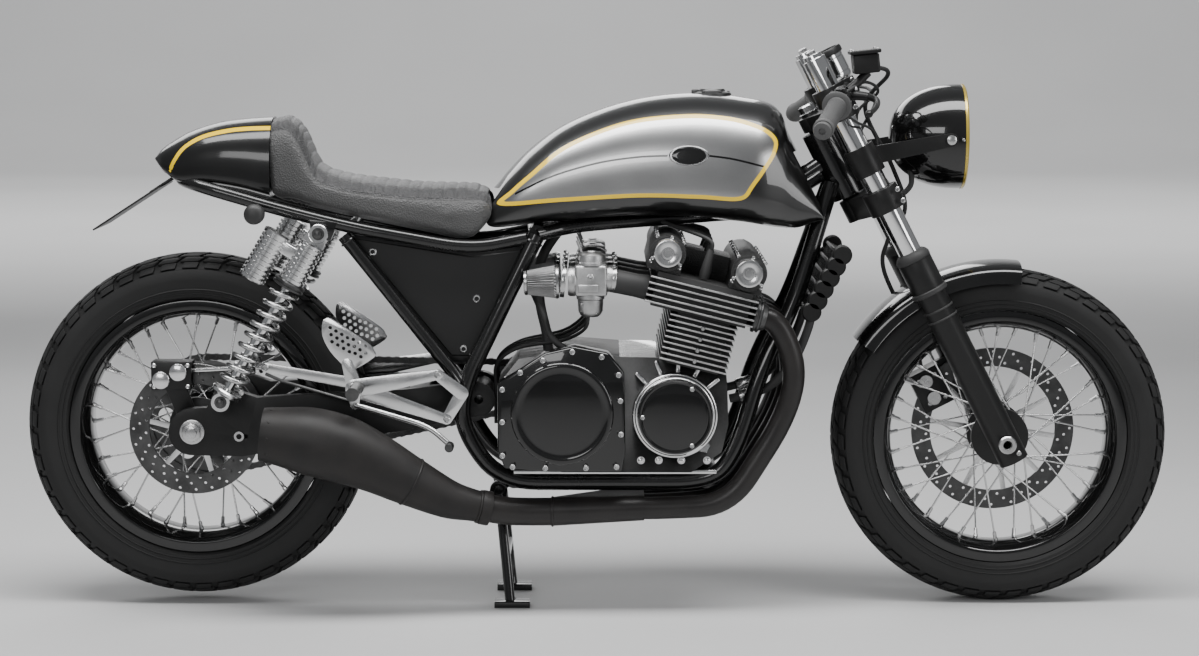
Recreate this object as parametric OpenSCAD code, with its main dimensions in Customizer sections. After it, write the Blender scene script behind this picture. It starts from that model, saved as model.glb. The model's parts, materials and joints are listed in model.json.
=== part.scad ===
// Cafe racer motorcycle: one solid per piece, assembled upright on its centre stand.
// Millimetres. +X is forward, +Y is the rider's left, +Z is up, and the floor is Z = 0.

/* [Wheels] */
// Distance between the two axles
wheelbase = 1455; // [1400:5:1750]
// Outer radius of the front tyre
front_tyre_r = 305; // [295:1:312]
// Outer radius of the rear tyre
rear_tyre_r = 312; // [300:1:318]
// Width of the front tyre
front_tyre_w = 118; // [96:1:122]
// Width of the rear tyre
rear_tyre_w = 138; // [110:1:146]
// Radius of a rim's flange, where the tyre's bead sits
rim_flange_r = 230; // [215:1:240]
// Radius of the rim bed that the spokes reach
rim_bed_r = 197; // [180:1:202]
// Number of spokes in each wheel
spoke_count = 36; // [28:4:40]
// Radius of a spoke
spoke_r = 1.6; // [1.2:0.1:1.9]
// Radius of both wheel axles
axle_r = 10; // [8:0.5:12]
// Outer radius of the front brake disc
front_disc_r = 150; // [130:1:160]
// Outer radius of the rear brake disc
rear_disc_r = 118; // [100:1:125]

/* [Steering] */
// Angle of the steering axis from the vertical
rake = 27; // [24:0.5:30]
// Distance from the steering axis to the plane of the fork legs
fork_offset = 45; // [35:1:50]
// Distance from the centre line to each fork leg
fork_half_spread = 105; // [100:1:112]
// Radius of a fork's chromed upper tube
stanchion_r = 21; // [18:0.5:25.5]
// Radius of a fork's lower slider
slider_r = 29; // [27:0.5:31]
// Length of the fork from the axle to its top cap
fork_length = 768; // [750:1:790]
// Half of the handlebar's overall width
bar_half_width = 355; // [320:1:430]
// Radius of the handlebar tube
bar_r = 11; // [9:0.5:13]
// Radius of the headlight's rim
headlight_r = 94; // [80:1:100]

/* [Body] */
// Half width of the tank at its widest
tank_half_w = 138; // [120:1:150]
// Half width of the seat
seat_half_w = 112; // [100:1:122]
// Half width of the tail at its front
tail_half_w = 104; // [90:1:112]
// Radius of the main frame tubes
frame_tube_r = 15; // [12:0.5:18]
// Radius of the rear frame tubes
rear_tube_r = 12; // [9:0.5:14]
// Distance from the centre line to the lower frame rails
cradle_half_w = 112; // [105:1:116]

/* [Engine] */
// Half width of the crankcase
case_half_w = 130; // [120:1:140]
// Half width of the cylinder block
block_half_w = 180; // [165:1:190]
// Thickness of a cooling fin
fin_t = 3; // [2:0.25:4]
// Forward lean of the cylinders
cylinder_lean = 14; // [10:1:16]
// Outer radius of an exhaust pipe
pipe_r = 20; // [17:0.5:21]
// Largest radius of the silencer
silencer_r = 60; // [50:1:64]

/* [Stand] */
// Height of the rear tyre above the floor
rear_lift = 14; // [5:1:20]
// Half distance between the stand's feet
stand_half_w = 82; // [76:1:86]

/* [Hidden] */
$fn = 48;
running_fit = 0.08;
seat_gap = 0.3;
axle_fit = 0.02;

front_axle = [(wheelbase - front_tyre_r + rear_tyre_r) / 2, 0, front_tyre_r];
rear_axle = [front_axle.x - wheelbase, 0, rear_tyre_r + rear_lift];
// The frame, engine and bodywork are placed from this point, a fixed step behind the front axle.
chassis = [front_axle.x - 731, 0, 0];
pivot = chassis + [-213, 0, 380];
engine_base = chassis + [168, 0, 445];
stand_pivot = chassis + [-178, 0, 214];

// ---------- Helpers ----------

function sum_to(v, n) = n < 0 ? 0 : v[n] + sum_to(v, n - 1);
function unit(v) = v / norm(v);
function mid(a, b) = (a + b) / 2;
function sign_pow(x, p) = (x < 0 ? -1 : 1) * pow(abs(x), p);
function mirrored(points) = [for (p = points) [p.x, -p.y, p.z]];

// Value of a smooth curve through a table of [x, value] rows
function slope(table, i) =
    let (a = max(i - 1, 0), b = min(i + 1, len(table) - 1))
    (table[b][1] - table[a][1]) / (table[b][0] - table[a][0]);
function row_of(table, x, i = 0) =
    (i >= len(table) - 2 || x <= table[i + 1][0]) ? i : row_of(table, x, i + 1);
function smooth(table, x) =
    let (
        i = row_of(table, x),
        w = table[i + 1][0] - table[i][0],
        t = min(max((x - table[i][0]) / w, 0), 1),
        a = table[i][1],
        b = table[i + 1][1],
        ma = slope(table, i) * w,
        mb = slope(table, i + 1) * w
    )
    a * (1 + 2 * t) * (1 - t) * (1 - t) + ma * t * (1 - t) * (1 - t)
    + b * t * t * (3 - 2 * t) + mb * t * t * (t - 1);

// Rounds each inner corner of a path with a curve that starts d before the corner
function corner(a, b, c, d, n) =
    let (
        d1 = min(d, norm(a - b) * 0.48),
        d2 = min(d, norm(c - b) * 0.48),
        p = b + unit(a - b) * d1,
        q = b + unit(c - b) * d2
    )
    [for (k = [0:n]) let (t = k / n) p * (1 - t) * (1 - t) + b * 2 * t * (1 - t) + q * t * t];
function rounded(path, d, n = 4) = [
    path[0],
    for (i = [1:len(path) - 2]) each corner(path[i - 1], path[i], path[i + 1], d, n),
    path[len(path) - 1]
];

// Joins rings of equal length into one closed solid
module skin(rings) {
    n = len(rings[0]);
    last = len(rings) - 1;
    faces = [
        [for (j = [0:n - 1]) j],
        for (i = [0:last - 1], j = [0:n - 1])
            each [
                [i * n + j, (i + 1) * n + (j + 1) % n, i * n + (j + 1) % n],
                [i * n + j, (i + 1) * n + j, (i + 1) * n + (j + 1) % n]
            ],
        [for (j = [n - 1:-1:0]) last * n + j]
    ];
    polyhedron(points = [for (r = rings) each r], faces = faces, convexity = 6);
}

// Round tube along a path; radii has one value for the whole path, or one for each point
module sweep(path, radii, sides = 12, across = [0, 1, 0]) {
    last = len(path) - 1;
    skin([
        for (i = [0:last])
            let (
                way = unit(path[min(i + 1, last)] - path[max(i - 1, 0)]),
                u = unit(cross(across, way)),
                v = cross(way, u),
                r = is_list(radii) ? radii[i] : radii
            )
            [for (k = [0:sides - 1]) path[i] + r * (cos(k * 360 / sides) * u + sin(k * 360 / sides) * v)]
    ]);
}

// Welds children into one mesh
module welded() { resize([0, 0, 0]) children(); }

// Cylinder along Y between two distances from the centre line
module along_y(x, z, y0, y1, r) {
    translate([x, y0, z]) rotate([-90, 0, 0]) cylinder(r = r, h = y1 - y0);
}

// Extrudes a side view, drawn as [x, z], between two distances from the centre line
module side_view(y0, y1) {
    translate([0, y1, 0]) rotate([90, 0, 0]) linear_extrude(height = y1 - y0) children();
}

module both_sides() {
    children();
    mirror([0, 1, 0]) children();
}

// Fork frame: Z runs up the fork from the axle, X points forward
module in_fork() { translate(front_axle) rotate([0, -rake, 0]) children(); }
function fork_point(x, y, s) = front_axle
    + [x * cos(rake) - s * sin(rake), y, x * sin(rake) + s * cos(rake)];
// Cylinder frame: Z runs up the cylinders from the crankcase top
module in_cylinders() { translate(engine_base) rotate([0, cylinder_lean, 0]) children(); }
function block_point(x, y, s) = engine_base
    + [x * cos(cylinder_lean) + s * sin(cylinder_lean), y, -x * sin(cylinder_lean) + s * cos(cylinder_lean)];

// ---------- Wheels ----------

rim_half_w_front = 46;
rim_half_w_rear = 58;
rim_wall = 4;
hub_r = 30;
flange_r = 52;
spoke_ring_r = 44;
spoke_grip = 3;
spoke_cross = 52;

// Tyre about the Y axis, with its beads on the rim
module tyre(axle, r, w, rim_w) {
    bead_r = rim_flange_r - 13;
    wide_r = rim_flange_r + 0.42 * (r - rim_flange_r);
    seat_y = rim_w - rim_wall - seat_gap;
    color("#1c1c1d") translate(axle) rotate([90, 0, 0]) rotate_extrude() polygon([
        [bead_r, -seat_y],
        [rim_flange_r + seat_gap, -seat_y],
        [rim_flange_r + seat_gap, -rim_w - 2],
        for (k = [0:24]) let (a = -90 + k * 180 / 24)
            [wide_r + (r - wide_r) * pow(cos(a), 0.8), w / 2 * sign_pow(sin(a), 0.95)],
        [rim_flange_r + seat_gap, rim_w + 2],
        [rim_flange_r + seat_gap, seat_y],
        [bead_r, seat_y]
    ]);
}

// Rim about the Y axis: two flanges, two bead seats and the well that holds the spokes
module rim(axle, half_w) {
    bead_r = rim_flange_r - 13 - seat_gap;
    color("#141415") translate(axle) rotate([90, 0, 0]) rotate_extrude()
        polygon([
            [rim_bed_r, -half_w * 0.42], [bead_r - 8, -half_w + 4], [bead_r - 4, -half_w],
            [rim_flange_r, -half_w], [rim_flange_r, -half_w + rim_wall], [bead_r, -half_w + rim_wall],
            [bead_r, -half_w * 0.62], [rim_bed_r + 5, -half_w * 0.34],
            [rim_bed_r + 5, half_w * 0.34], [bead_r, half_w * 0.62],
            [bead_r, half_w - rim_wall], [rim_flange_r, half_w - rim_wall], [rim_flange_r, half_w],
            [bead_r - 4, half_w], [bead_r - 8, half_w - 4], [rim_bed_r, half_w * 0.42]
        ]);
}

// Crossed spokes: neighbours run to opposite flanges, and every other pair leans the other way
module spokes(axle, flange_y, rim_y) {
    color("silver") translate(axle) for (k = [0:spoke_count - 1]) {
        side = k % 2 == 0 ? 1 : -1;
        lean = floor(k / 2) % 2 == 0 ? 1 : -1;
        a = k * 360 / spoke_count;
        b = a + lean * spoke_cross;
        from = [spoke_ring_r * cos(b), side * flange_y + lean * 3.4, spoke_ring_r * sin(b)];
        to = [(rim_bed_r + spoke_grip) * cos(a), side * rim_y, (rim_bed_r + spoke_grip) * sin(a)];
        way = to - from;
        translate(from)
            rotate([0, acos(way.z / norm(way)), atan2(way.y, way.x)])
                cylinder(r = spoke_r, h = norm(way));
    }
}

module hub(axle, flange_y, y0, y1) {
    color("#2a2a2b") translate(axle) difference() {
        union() {
            along_y(0, 0, -flange_y, flange_y, hub_r);
            for (s = [-1, 1]) along_y(0, 0, s * flange_y - 6, s * flange_y + 6, flange_r);
            along_y(0, 0, y0, y1, axle_r + 8);
        }
        along_y(0, 0, y0 - 1, y1 + 1, axle_r + running_fit);
    }
}

front_flange_y = 34;
rear_flange_y = 40;
front_disc_y = 66;
rear_disc_y = -82;
disc_t = 5;
front_hub_half = fork_half_spread - slider_r - 6;
arm_in_y = 98;
arm_w = 26;
rear_hub_half = arm_in_y - 10;

module front_tyre() { tyre(front_axle, front_tyre_r, front_tyre_w, rim_half_w_front); }
module rear_tyre() { tyre(rear_axle, rear_tyre_r, rear_tyre_w, rim_half_w_rear); }
module front_rim() { rim(front_axle, rim_half_w_front); }
module rear_rim() { rim(rear_axle, rim_half_w_rear); }
module front_spokes() { spokes(front_axle, front_flange_y, 8); }
module rear_spokes() { spokes(rear_axle, rear_flange_y, 10); }
module front_hub() { hub(front_axle, front_flange_y, -front_hub_half, front_hub_half); }
module rear_hub() { hub(rear_axle, rear_flange_y, -rear_hub_half, rear_hub_half); }

// Disc with a slotted carrier: a friction ring, curved arms and a bolting ring on the hub
module disc(axle, y, r, ring_w, arms, inner_r) {
    color("#9a9a9c") translate(axle + [0, y - disc_t / 2, 0]) rotate([-90, 0, 0]) linear_extrude(height = disc_t) {
        difference() { circle(r = r); circle(r = r - ring_w); }
        difference() { circle(r = inner_r + 14); circle(r = inner_r); }
        for (k = [0:arms - 1]) rotate(k * 360 / arms)
            polygon([[inner_r + 8, -5], [r - ring_w + 2, 10], [r - ring_w + 2, 19], [inner_r + 8, 6]]);
    }
}

module front_disc() { disc(front_axle, front_disc_y, front_disc_r, 34, 10, axle_r + 8 + seat_gap); }
module rear_disc() { disc(rear_axle, rear_disc_y, rear_disc_r, 36, 6, axle_r + 8 + seat_gap); }

nut_y = fork_half_spread + slider_r + 4;
module front_axle_part() {
    color("silver") translate(front_axle) difference() {
        union() {
            along_y(0, 0, -nut_y, nut_y, axle_r);
            for (s = [-1, 1]) along_y(0, 0, s * nut_y - 4, s * nut_y + 4, 15);
        }
        along_y(0, 0, -200, 200, axle_r - 3);
    }
}

sprocket_r = 104;
sprocket_y = 84;
front_sprocket = pivot + [72, 0, 4];
front_sprocket_r = 36;
chain_half_h = 9;
chain_t = 12;

module rear_sprocket() {
    color("#4a4a4c") translate(rear_axle) difference() {
        union() {
            along_y(0, 0, sprocket_y - 3, sprocket_y + 3, sprocket_r - 0.4);
            along_y(0, 0, rear_flange_y + 6, sprocket_y - 3, 48);
        }
        along_y(0, 0, 0, sprocket_y + 4, axle_r + 8 + seat_gap);
        for (k = [0:5]) rotate([0, k * 60, 0]) along_y(76, 0, 0, sprocket_y + 4, 15);
    }
}

// Chain as one closed loop round both sprockets, drawn from the two tangent lines
module drive_chain() {
    d = front_sprocket - rear_axle;
    span = norm([d.x, d.z]);
    tilt = atan2(d.z, d.x);
    wrap = acos((sprocket_r - front_sprocket_r) / span);
    module loop(grow) {
        translate([rear_axle.x, rear_axle.z]) rotate(tilt) polygon([
            for (k = [0:24]) let (a = wrap + k * (360 - 2 * wrap) / 24) (sprocket_r + grow) * [cos(a), sin(a)],
            for (k = [0:12]) let (a = -wrap + k * 2 * wrap / 12) [span, 0] + (front_sprocket_r + grow) * [cos(a), sin(a)]
        ]);
    }
    color("#3a3a3b") side_view(sprocket_y - chain_t / 2, sprocket_y + chain_t / 2) difference() {
        loop(14);
        loop(seat_gap);
    }
}

module rear_axle_part() {
    y = arm_in_y + arm_w;
    color("silver") translate(rear_axle) {
        along_y(0, 0, -y - 16, y + 16, axle_r);
        for (s = [-1, 1]) along_y(0, 0, s > 0 ? y : -y - 14, s > 0 ? y + 14 : -y, 16);
    }
}

// ---------- Front end ----------

slider_top = 366;
lower_yoke_s = 488;
upper_yoke_s = 662;
yoke_t = 42;
upper_yoke_t = 26;
clip_s = 697;
clip_t = 30;
stem_r = 16;
head_r = 31;

// Plate that clamps both fork legs and the steering stem
module yoke(s, t, stem) {
    in_fork() translate([0, 0, s - t / 2]) linear_extrude(height = t) difference() {
        union() {
            for (y = [-1, 1]) translate([0, y * fork_half_spread]) circle(r = stanchion_r + 12);
            polygon([
                [26, -fork_half_spread], [14, 0], [26, fork_half_spread],
                [-20, fork_half_spread], [-fork_offset - 10, 20], [-fork_offset - 10, -20], [-20, -fork_half_spread]
            ]);
            translate([-fork_offset, 0]) circle(r = 24);
        }
        for (y = [-1, 1]) translate([0, y * fork_half_spread]) circle(r = stanchion_r + seat_gap / 3);
        translate([-fork_offset, 0]) circle(r = stem);
    }
}

module fork_yokes() {
    color("#1b1b1c") {
        yoke(lower_yoke_s, yoke_t, 1);
        in_fork() translate([-fork_offset, 0, lower_yoke_s - yoke_t / 2])
            cylinder(r = stem_r, h = upper_yoke_s + upper_yoke_t / 2 + 6 - lower_yoke_s + yoke_t / 2);
        yoke(upper_yoke_s, upper_yoke_t, stem_r + seat_gap / 3);
    }
}

module fork_tubes() {
    color("#d8d8da") in_fork() for (y = [-1, 1]) translate([0, y * fork_half_spread, slider_top - 40]) {
        cylinder(r = stanchion_r, h = fork_length - slider_top + 40);
        translate([0, 0, fork_length - slider_top + 40]) cylinder(r = stanchion_r - 4, h = 8);
    }
}

module fork_sliders() {
    color("#242425") difference() {
        in_fork() for (y = [-1, 1]) translate([0, y * fork_half_spread, 0]) {
            translate([0, 0, -38]) cylinder(r = slider_r - 2, h = slider_top + 38 - 60);
            translate([0, 0, slider_top - 62]) cylinder(r = slider_r + 2, h = 62);
        }
        in_fork() for (y = [-1, 1]) translate([0, y * fork_half_spread, slider_top - 42])
            cylinder(r = stanchion_r + 0.1, h = 60);
        translate(front_axle) along_y(0, 0, -200, 200, axle_r + axle_fit);
    }
}

// Clip-on bars: a clamp on each fork tube and a tube that runs out, back and down
bar_start = fork_point(34, -fork_half_spread, clip_s);
bar_end = chassis + [382, -bar_half_width, 877];
bar_way = unit(bar_end - bar_start);
function bar_point(y) = bar_start + bar_way * ((-y - fork_half_spread) / -bar_way.y);

module rod(a, b, r) {
    way = b - a;
    translate(a) rotate([0, acos(way.z / norm(way)), atan2(way.y, way.x)]) cylinder(r = r, h = norm(way));
}

module handlebars() {
    color("#1d1d1e") both_sides() {
        difference() {
            union() {
                in_fork() translate([0, -fork_half_spread, clip_s - clip_t / 2])
                    cylinder(r = stanchion_r + 10, h = clip_t);
                in_fork() translate([22, -fork_half_spread - 14, clip_s - clip_t / 2]) cube([26, 28, clip_t]);
            }
            in_fork() translate([0, -fork_half_spread, clip_s - clip_t])
                cylinder(r = stanchion_r + seat_gap / 3, h = clip_t * 2);
        }
        rod(bar_point(-fork_half_spread), bar_end, bar_r);
    }
}

grip_in = -222;
module grips() {
    color("#5d5f61") both_sides() difference() {
        union() {
            rod(bar_point(grip_in), bar_end + bar_way * 6, 16.5);
            rod(bar_point(grip_in), bar_point(grip_in) + bar_way * 6, 26);
        }
        rod(bar_point(grip_in + 20), bar_end + bar_way * 0.3, bar_r + 0.1);
    }
}

lever_y = -176;
module hand_controls() {
    color("#202021") brake_reservoir();
    color("#2b2b2c") both_sides() {
        a = bar_point(lever_y);
        difference() {
            union() {
                rod(a - bar_way * 15, a + bar_way * 15, bar_r + 7);
                hull() {
                    translate(a + [16, 0, 4]) sphere(r = 9, $fn = 16);
                    translate(a + [46, -14, 2]) sphere(r = 8, $fn = 16);
                }
            }
            rod(a - bar_way * 40, a + bar_way * 40, bar_r + 0.1);
        }
        path = rounded([a + [46, -14, 2], a + [58, -50, -4], a + [34, -150, -22]], 30);
        sweep(path, [for (i = [0:len(path) - 1]) 6.5 - i * 0.25], 10, [1, 0, 0]);
        translate(a + [34, -150, -22]) sphere(r = 7, $fn = 16);
    }
}

module brake_reservoir() {
    a = bar_point(lever_y);
    rod(a + [12, 0, 13], a + [46, 14, 40], 8);
    translate(a + [26, -6, 38]) rotate([0, -6, 0]) {
        cube([46, 58, 34]);
        translate([-4, -4, 34]) cube([54, 66, 8]);
    }
}

headlight_x = 655;
headlight_z = 848;
headlight = chassis + [headlight_x, 0, headlight_z];
module turned_x(p) { translate(p) rotate([0, 90, 0]) rotate_extrude() children(); }

module headlight_shell() {
    color("#101011") turned_x(headlight) difference() {
        polygon([
            [0, -128],
            for (k = [1:14]) let (t = k / 14) [headlight_r * pow(sin(t * 90), 0.82), -128 + 118 * (1 - cos(t * 90)) + 2 * t],
            [headlight_r, 0], [headlight_r - 4, 6], [headlight_r - 10, 6], [headlight_r - 10, -4], [0, -4]
        ]);
    }
}

module headlight_lens() {
    color("#e6dcae") turned_x(headlight) polygon([
        [0, -3.7], [headlight_r - 10.3, -3.7], [headlight_r - 10.3, 3],
        for (k = [1:6]) let (t = k / 6) [(headlight_r - 10.3) * cos(t * 90), 3 + 9 * sin(t * 90)]
    ]);
}

module headlight_bracket() {
    color("#1b1b1c") both_sides() difference() {
        union() {
            in_fork() translate([0, -fork_half_spread, 540]) cylinder(r = stanchion_r + 7, h = 52);
            hull() {
                translate(fork_point(24, -fork_half_spread + 4, 566)) rotate([90, 0, 0]) cylinder(r = 16, h = 7, $fn = 24);
                translate(headlight + [-26, -headlight_r - seat_gap, -2]) rotate([90, 0, 0]) cylinder(r = 12, h = 7, $fn = 24);
            }
        }
        in_fork() translate([0, -fork_half_spread, 500]) cylinder(r = stanchion_r + seat_gap / 3, h = 130);
    }
}

module speedometer() {
    in_fork() translate([24, 0, upper_yoke_s + upper_yoke_t / 2 + seat_gap]) {
        color("#1b1b1c") cylinder(r = 14, h = 30);
        color("#d8d8da") translate([0, 0, 30]) cylinder(r = 33, h = 50);
        color("#141414") translate([0, 0, 80]) cylinder(r = 36, h = 12);
    }
}

guard_in_r = front_tyre_r + 12;
guard_t = 3;
guard_half_w = front_tyre_w / 2 + 10;
module front_mudguard() {
    color("#141415") translate(front_axle) {
        rotate([90, 0, 0]) rotate([0, 0, 84]) rotate_extrude(angle = 62) polygon([
            for (k = [0:12]) let (a = -90 + k * 15) [guard_in_r - 34 + 34 * sign_pow(cos(a), 0.5), guard_half_w * sin(a)],
            for (k = [12:-1:0]) let (a = -90 + k * 15)
                [guard_in_r - 34 + (34 + guard_t) * sign_pow(cos(a), 0.5), (guard_half_w + guard_t) * sin(a)]
        ]);
    }
    // Stays that bolt the mudguard to the inside of each fork leg
    stay_out = fork_half_spread - slider_r + 2 - seat_gap;
    color("#141415") both_sides() in_fork() translate([-13, guard_half_w, guard_in_r - 32])
        cube([26, stay_out - guard_half_w, 18]);
}

pad_gap = 5;
module front_caliper() {
    y = front_disc_y;
    color("#1a1a1b") difference() {
        in_fork() {
            translate([-98, y - 26, 84]) cube([60, 52, 74]);
            translate([-60, y + 8, 84]) cube([60, 20, 24]);
            translate([-60, y + 8, 134]) cube([60, 20, 24]);
        }
        translate(front_axle) along_y(0, 0, y - disc_t / 2 - pad_gap, y + disc_t / 2 + pad_gap, front_disc_r + pad_gap);
        in_fork() translate([0, fork_half_spread, 0]) cylinder(r = slider_r - 2 + seat_gap, h = 300);
    }
}

hose_r = 4;
module front_brake_hose() {
    top = bar_point(lever_y) + [66, 56.5, 56];
    path = rounded([
        top, top + [26, 50, -20], fork_point(48, 10, 640), fork_point(48, 30, 520), fork_point(40, 50, 440),
        fork_point(-20, 64, 400), fork_point(-50, 82, 350), fork_point(-50, 84, 220), fork_point(-66, 78, 159.3)
    ], 50, 4);
    color("#161616") sweep(path, hose_r, 8, [0, 1, 0.1]);
}

// ---------- Frame ----------

head_foot = lower_yoke_s + yoke_t / 2 + 5;
head_h_axis = upper_yoke_s - upper_yoke_t / 2 - 5 - head_foot;
module steering_head() {
    color("#161617") in_fork() translate([-fork_offset, 0, head_foot]) difference() {
        cylinder(r = head_r, h = head_h_axis);
        translate([0, 0, -1]) cylinder(r = stem_r + running_fit, h = head_h_axis + 2);
    }
}

head_low = fork_point(-fork_offset - 18, 0, 547);
head_mid = fork_point(-fork_offset - 18, 0, 585);
function c(x, y, z) = chassis + [x, y, z];
rail_z = 234;
cross_x = -150;
cross_r = 12;

down_tube = rounded([
    head_low + [-4, 24, 0], c(352, 80, 548), c(292, cradle_half_w - 12, 436), c(250, cradle_half_w, 290), c(205, cradle_half_w, rail_z),
    c(-175, cradle_half_w, rail_z), c(-243, cradle_half_w, 330), c(-240, cradle_half_w, 405), c(-108, 92, 676)
], 70, 4);
top_tube = rounded([head_mid, c(330, 0, 744), c(-60, 0, 706), c(-108, 0, 690)], 60, 4);
side_tube = rounded([head_mid + [-6, 14, -20], c(300, 48, 716), c(-40, 52, 690), c(-108, 92, 676)], 60, 4);

module frame() {
    color("#161617") difference() {
        frame_tubes();
        in_fork() translate([-fork_offset, 0, head_foot - 20]) cylinder(r = head_r + seat_gap / 3, h = head_h_axis + 40);
    }
}
module seat_tube(gap) {
    translate(c(-108, 0, 680)) rotate([90, 0, 0]) cylinder(r = 14 + gap, h = 184 + 2 * gap, center = true, $fn = 16);
}
module frame_tubes() {
    welded() {
        both_sides() {
            sweep(down_tube, frame_tube_r, 12);
            sweep(side_tube, 12, 12);
        }
        sweep(top_tube, 20, 14);
        // Cross tubes under the seat and at both ends of the lower rails
        seat_tube(0);
        translate(c(cross_x, 0, rail_z)) rotate([90, 0, 0]) cylinder(r = cross_r, h = 2 * cradle_half_w, center = true, $fn = 32);
        translate(c(196, 0, rail_z)) rotate([90, 0, 0]) cylinder(r = cross_r, h = 2 * cradle_half_w, center = true, $fn = 16);
    }
}

rail = rounded([
    c(-126, 94, 671), c(-225, 100, 652), c(-431, 100, 689), c(-564, 98, 722), c(-690, 92, 758), c(-742, 60, 772), c(-752, 0, 774)
], 60, 4);
strut = [c(-452, 100, 676), c(-262, 104, 436), c(-244, cradle_half_w, 412)];

module rear_frame() {
    color("#161617") difference() {
        welded() {
            both_sides() {
                sweep(rail, rear_tube_r, 12);
                sweep(strut, rear_tube_r, 12);
                translate(chassis) side_view(92, shock_plate_y) polygon([[-512, 706], [-508, 668], [-474, 668], [-462, 700]]);
            }
            translate(c(-440, 0, 692)) rotate([90, 0, 0]) cylinder(r = 10, h = 200, center = true, $fn = 16);
        }
        both_sides() sweep(down_tube, frame_tube_r + seat_gap, 12);
    }
}

// ---------- Bodywork ----------

tank_top = [[-205, 742], [-183, 760], [-161, 787], [-123, 825], [-68, 865], [4, 897], [76, 917], [148, 926],
    [206, 926], [257, 920], [311, 908], [332, 890], [342, 862], [372, 800], [398, 740], [404, 716]];
tank_bottom = [[-205, 680], [-67, 697.4], [110, 708], [252, 698], [351, 684], [404, 700]];
tank_width = [[-205, 66], [-160, 92], [-100, 106], [0, 122], [110, 134], [200, 138], [280, 132], [340, 108], [404, 82]];
tunnel_half_w = 70;
tunnel_z = 742;
cap_x = 206;
cap_z = 916;
cap_r = 36;

function tank_ring(x, sides = 36) =
    let (
        top = smooth(tank_top, x),
        low = smooth(tank_bottom, x),
        w = smooth(tank_width, x) * tank_half_w / 138,
        zc = low + 0.36 * (top - low)
    )
    [for (k = [0:sides - 1]) let (a = k * 360 / sides, s = sin(a))
        chassis + [x, w * sign_pow(cos(a), s > 0 ? 0.86 : 0.5), zc + (s > 0 ? top - zc : zc - low) * sign_pow(s, s > 0 ? 0.9 : 0.5)]];

tank_x = [-205, -199, -190, -175, -160, -140, -120, -95, -70, -45, -20, 10, 40, 75, 110, 145, 180, 215, 250, 280,
    305, 320, 330, 338, 350, 365, 380, 392, 400, 404];

module fuel_tank() {
    color("#111112") difference() {
        skin([for (x = tank_x) tank_ring(x)]);
        // Tunnel over the frame's top tubes, rising to the steering head
        translate(chassis) side_view(-tunnel_half_w, tunnel_half_w)
            polygon([[-300, 600], [-300, tunnel_z], [60, tunnel_z], [420, tunnel_z + 90], [420, 600]]);
        translate(c(cap_x, 0, cap_z)) cylinder(r = cap_r + seat_gap, h = 40);
        seat_tube(seat_gap);
        in_fork() translate([-fork_offset, 0, 400]) cylinder(r = head_r + 8, h = 400);
    }
}

module fuel_cap() {
    color("#2a2a2c") {
        translate(c(cap_x, 0, cap_z + seat_gap)) cylinder(r = cap_r, h = 14);
        translate(c(cap_x, 0, cap_z + 14)) cylinder(r = cap_r * 0.66, h = 4);
    }
}

// Room that the seat and tail leave for the rear frame
module rail_space() {
    both_sides() sweep(rail, rear_tube_r + seat_gap, 12);
    translate(c(-440, 0, 692)) rotate([90, 0, 0]) cylinder(r = 10 + seat_gap, h = 220, center = true, $fn = 16);
}

seat_top = [[-583, 884], [-560, 889], [-545, 887], [-531, 868], [-521, 838], [-511, 812], [-498, 795], [-470, 784],
    [-430, 776], [-379, 770], [-328, 765], [-260, 763], [-215, 763], [-196, 756], [-188, 738]];
seat_low = [[-583, 744], [-500, 724], [-421, 706], [-300, 681], [-232, 668], [-215, 672], [-200, 690], [-188, 712]];
seat_width = [[-583, 96], [-540, 101], [-480, 110], [-380, 112], [-260, 108], [-205, 98], [-188, 84]];

function seat_ring(x, sides = 32) =
    let (
        top = smooth(seat_top, x),
        low = smooth(seat_low, x),
        w = smooth(seat_width, x) * seat_half_w / 112,
        zc = low + 0.3 * (top - low)
    )
    [for (k = [0:sides - 1]) let (a = k * 360 / sides, s = sin(a))
        chassis + [x, w * sign_pow(cos(a), s > 0 ? 0.62 : 0.3), zc + (s > 0 ? top - zc : zc - low) * sign_pow(s, s > 0 ? 0.62 : 0.3)]];

seat_x = [-583, -575, -560, -548, -540, -533, -526, -518, -510, -502, -492, -478, -455, -430, -400, -370, -340, -310, -280,
    -250, -228, -212, -202, -194, -188];

module seat() {
    color("#4a4b4d") difference() {
        skin([for (x = seat_x) seat_ring(x)]);
        translate([-0.5, 0, 0]) skin([for (k = [0:9]) tank_ring(tank_x[k])]);
        rail_space();
    }
}

tail_top = [[-796, 812], [-785, 826], [-769, 838], [-733, 858], [-682, 874], [-631, 881], [-583.4, 884]];
tail_low = [[-796, 808], [-785, 794], [-770, 780], [-750, 768], [-700, 766], [-640, 757], [-583.4, 742]];
tail_width = [[-796, 30], [-780, 54], [-740, 76], [-680, 90], [-620, 98], [-583.4, 100]];
tail_x = [-796, -790, -780, -765, -745, -720, -690, -655, -620, -600, -583.4];

function tail_ring(x, sides = 32) =
    let (
        top = smooth(tail_top, x),
        low = smooth(tail_low, x),
        w = smooth(tail_width, x) * tail_half_w / 104,
        zc = low + 0.3 * (top - low)
    )
    [for (k = [0:sides - 1]) let (a = k * 360 / sides, s = sin(a))
        chassis + [x, w * sign_pow(cos(a), s > 0 ? 0.8 : 0.35), zc + (s > 0 ? top - zc : zc - low) * sign_pow(s, s > 0 ? 0.8 : 0.35)]];

module tail_shape() {
    skin([for (x = tail_x) tail_ring(x)]);
}

module tail_cowl() {
    color("#131314") difference() {
        tail_shape();
        rail_space();
    }
}

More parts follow.
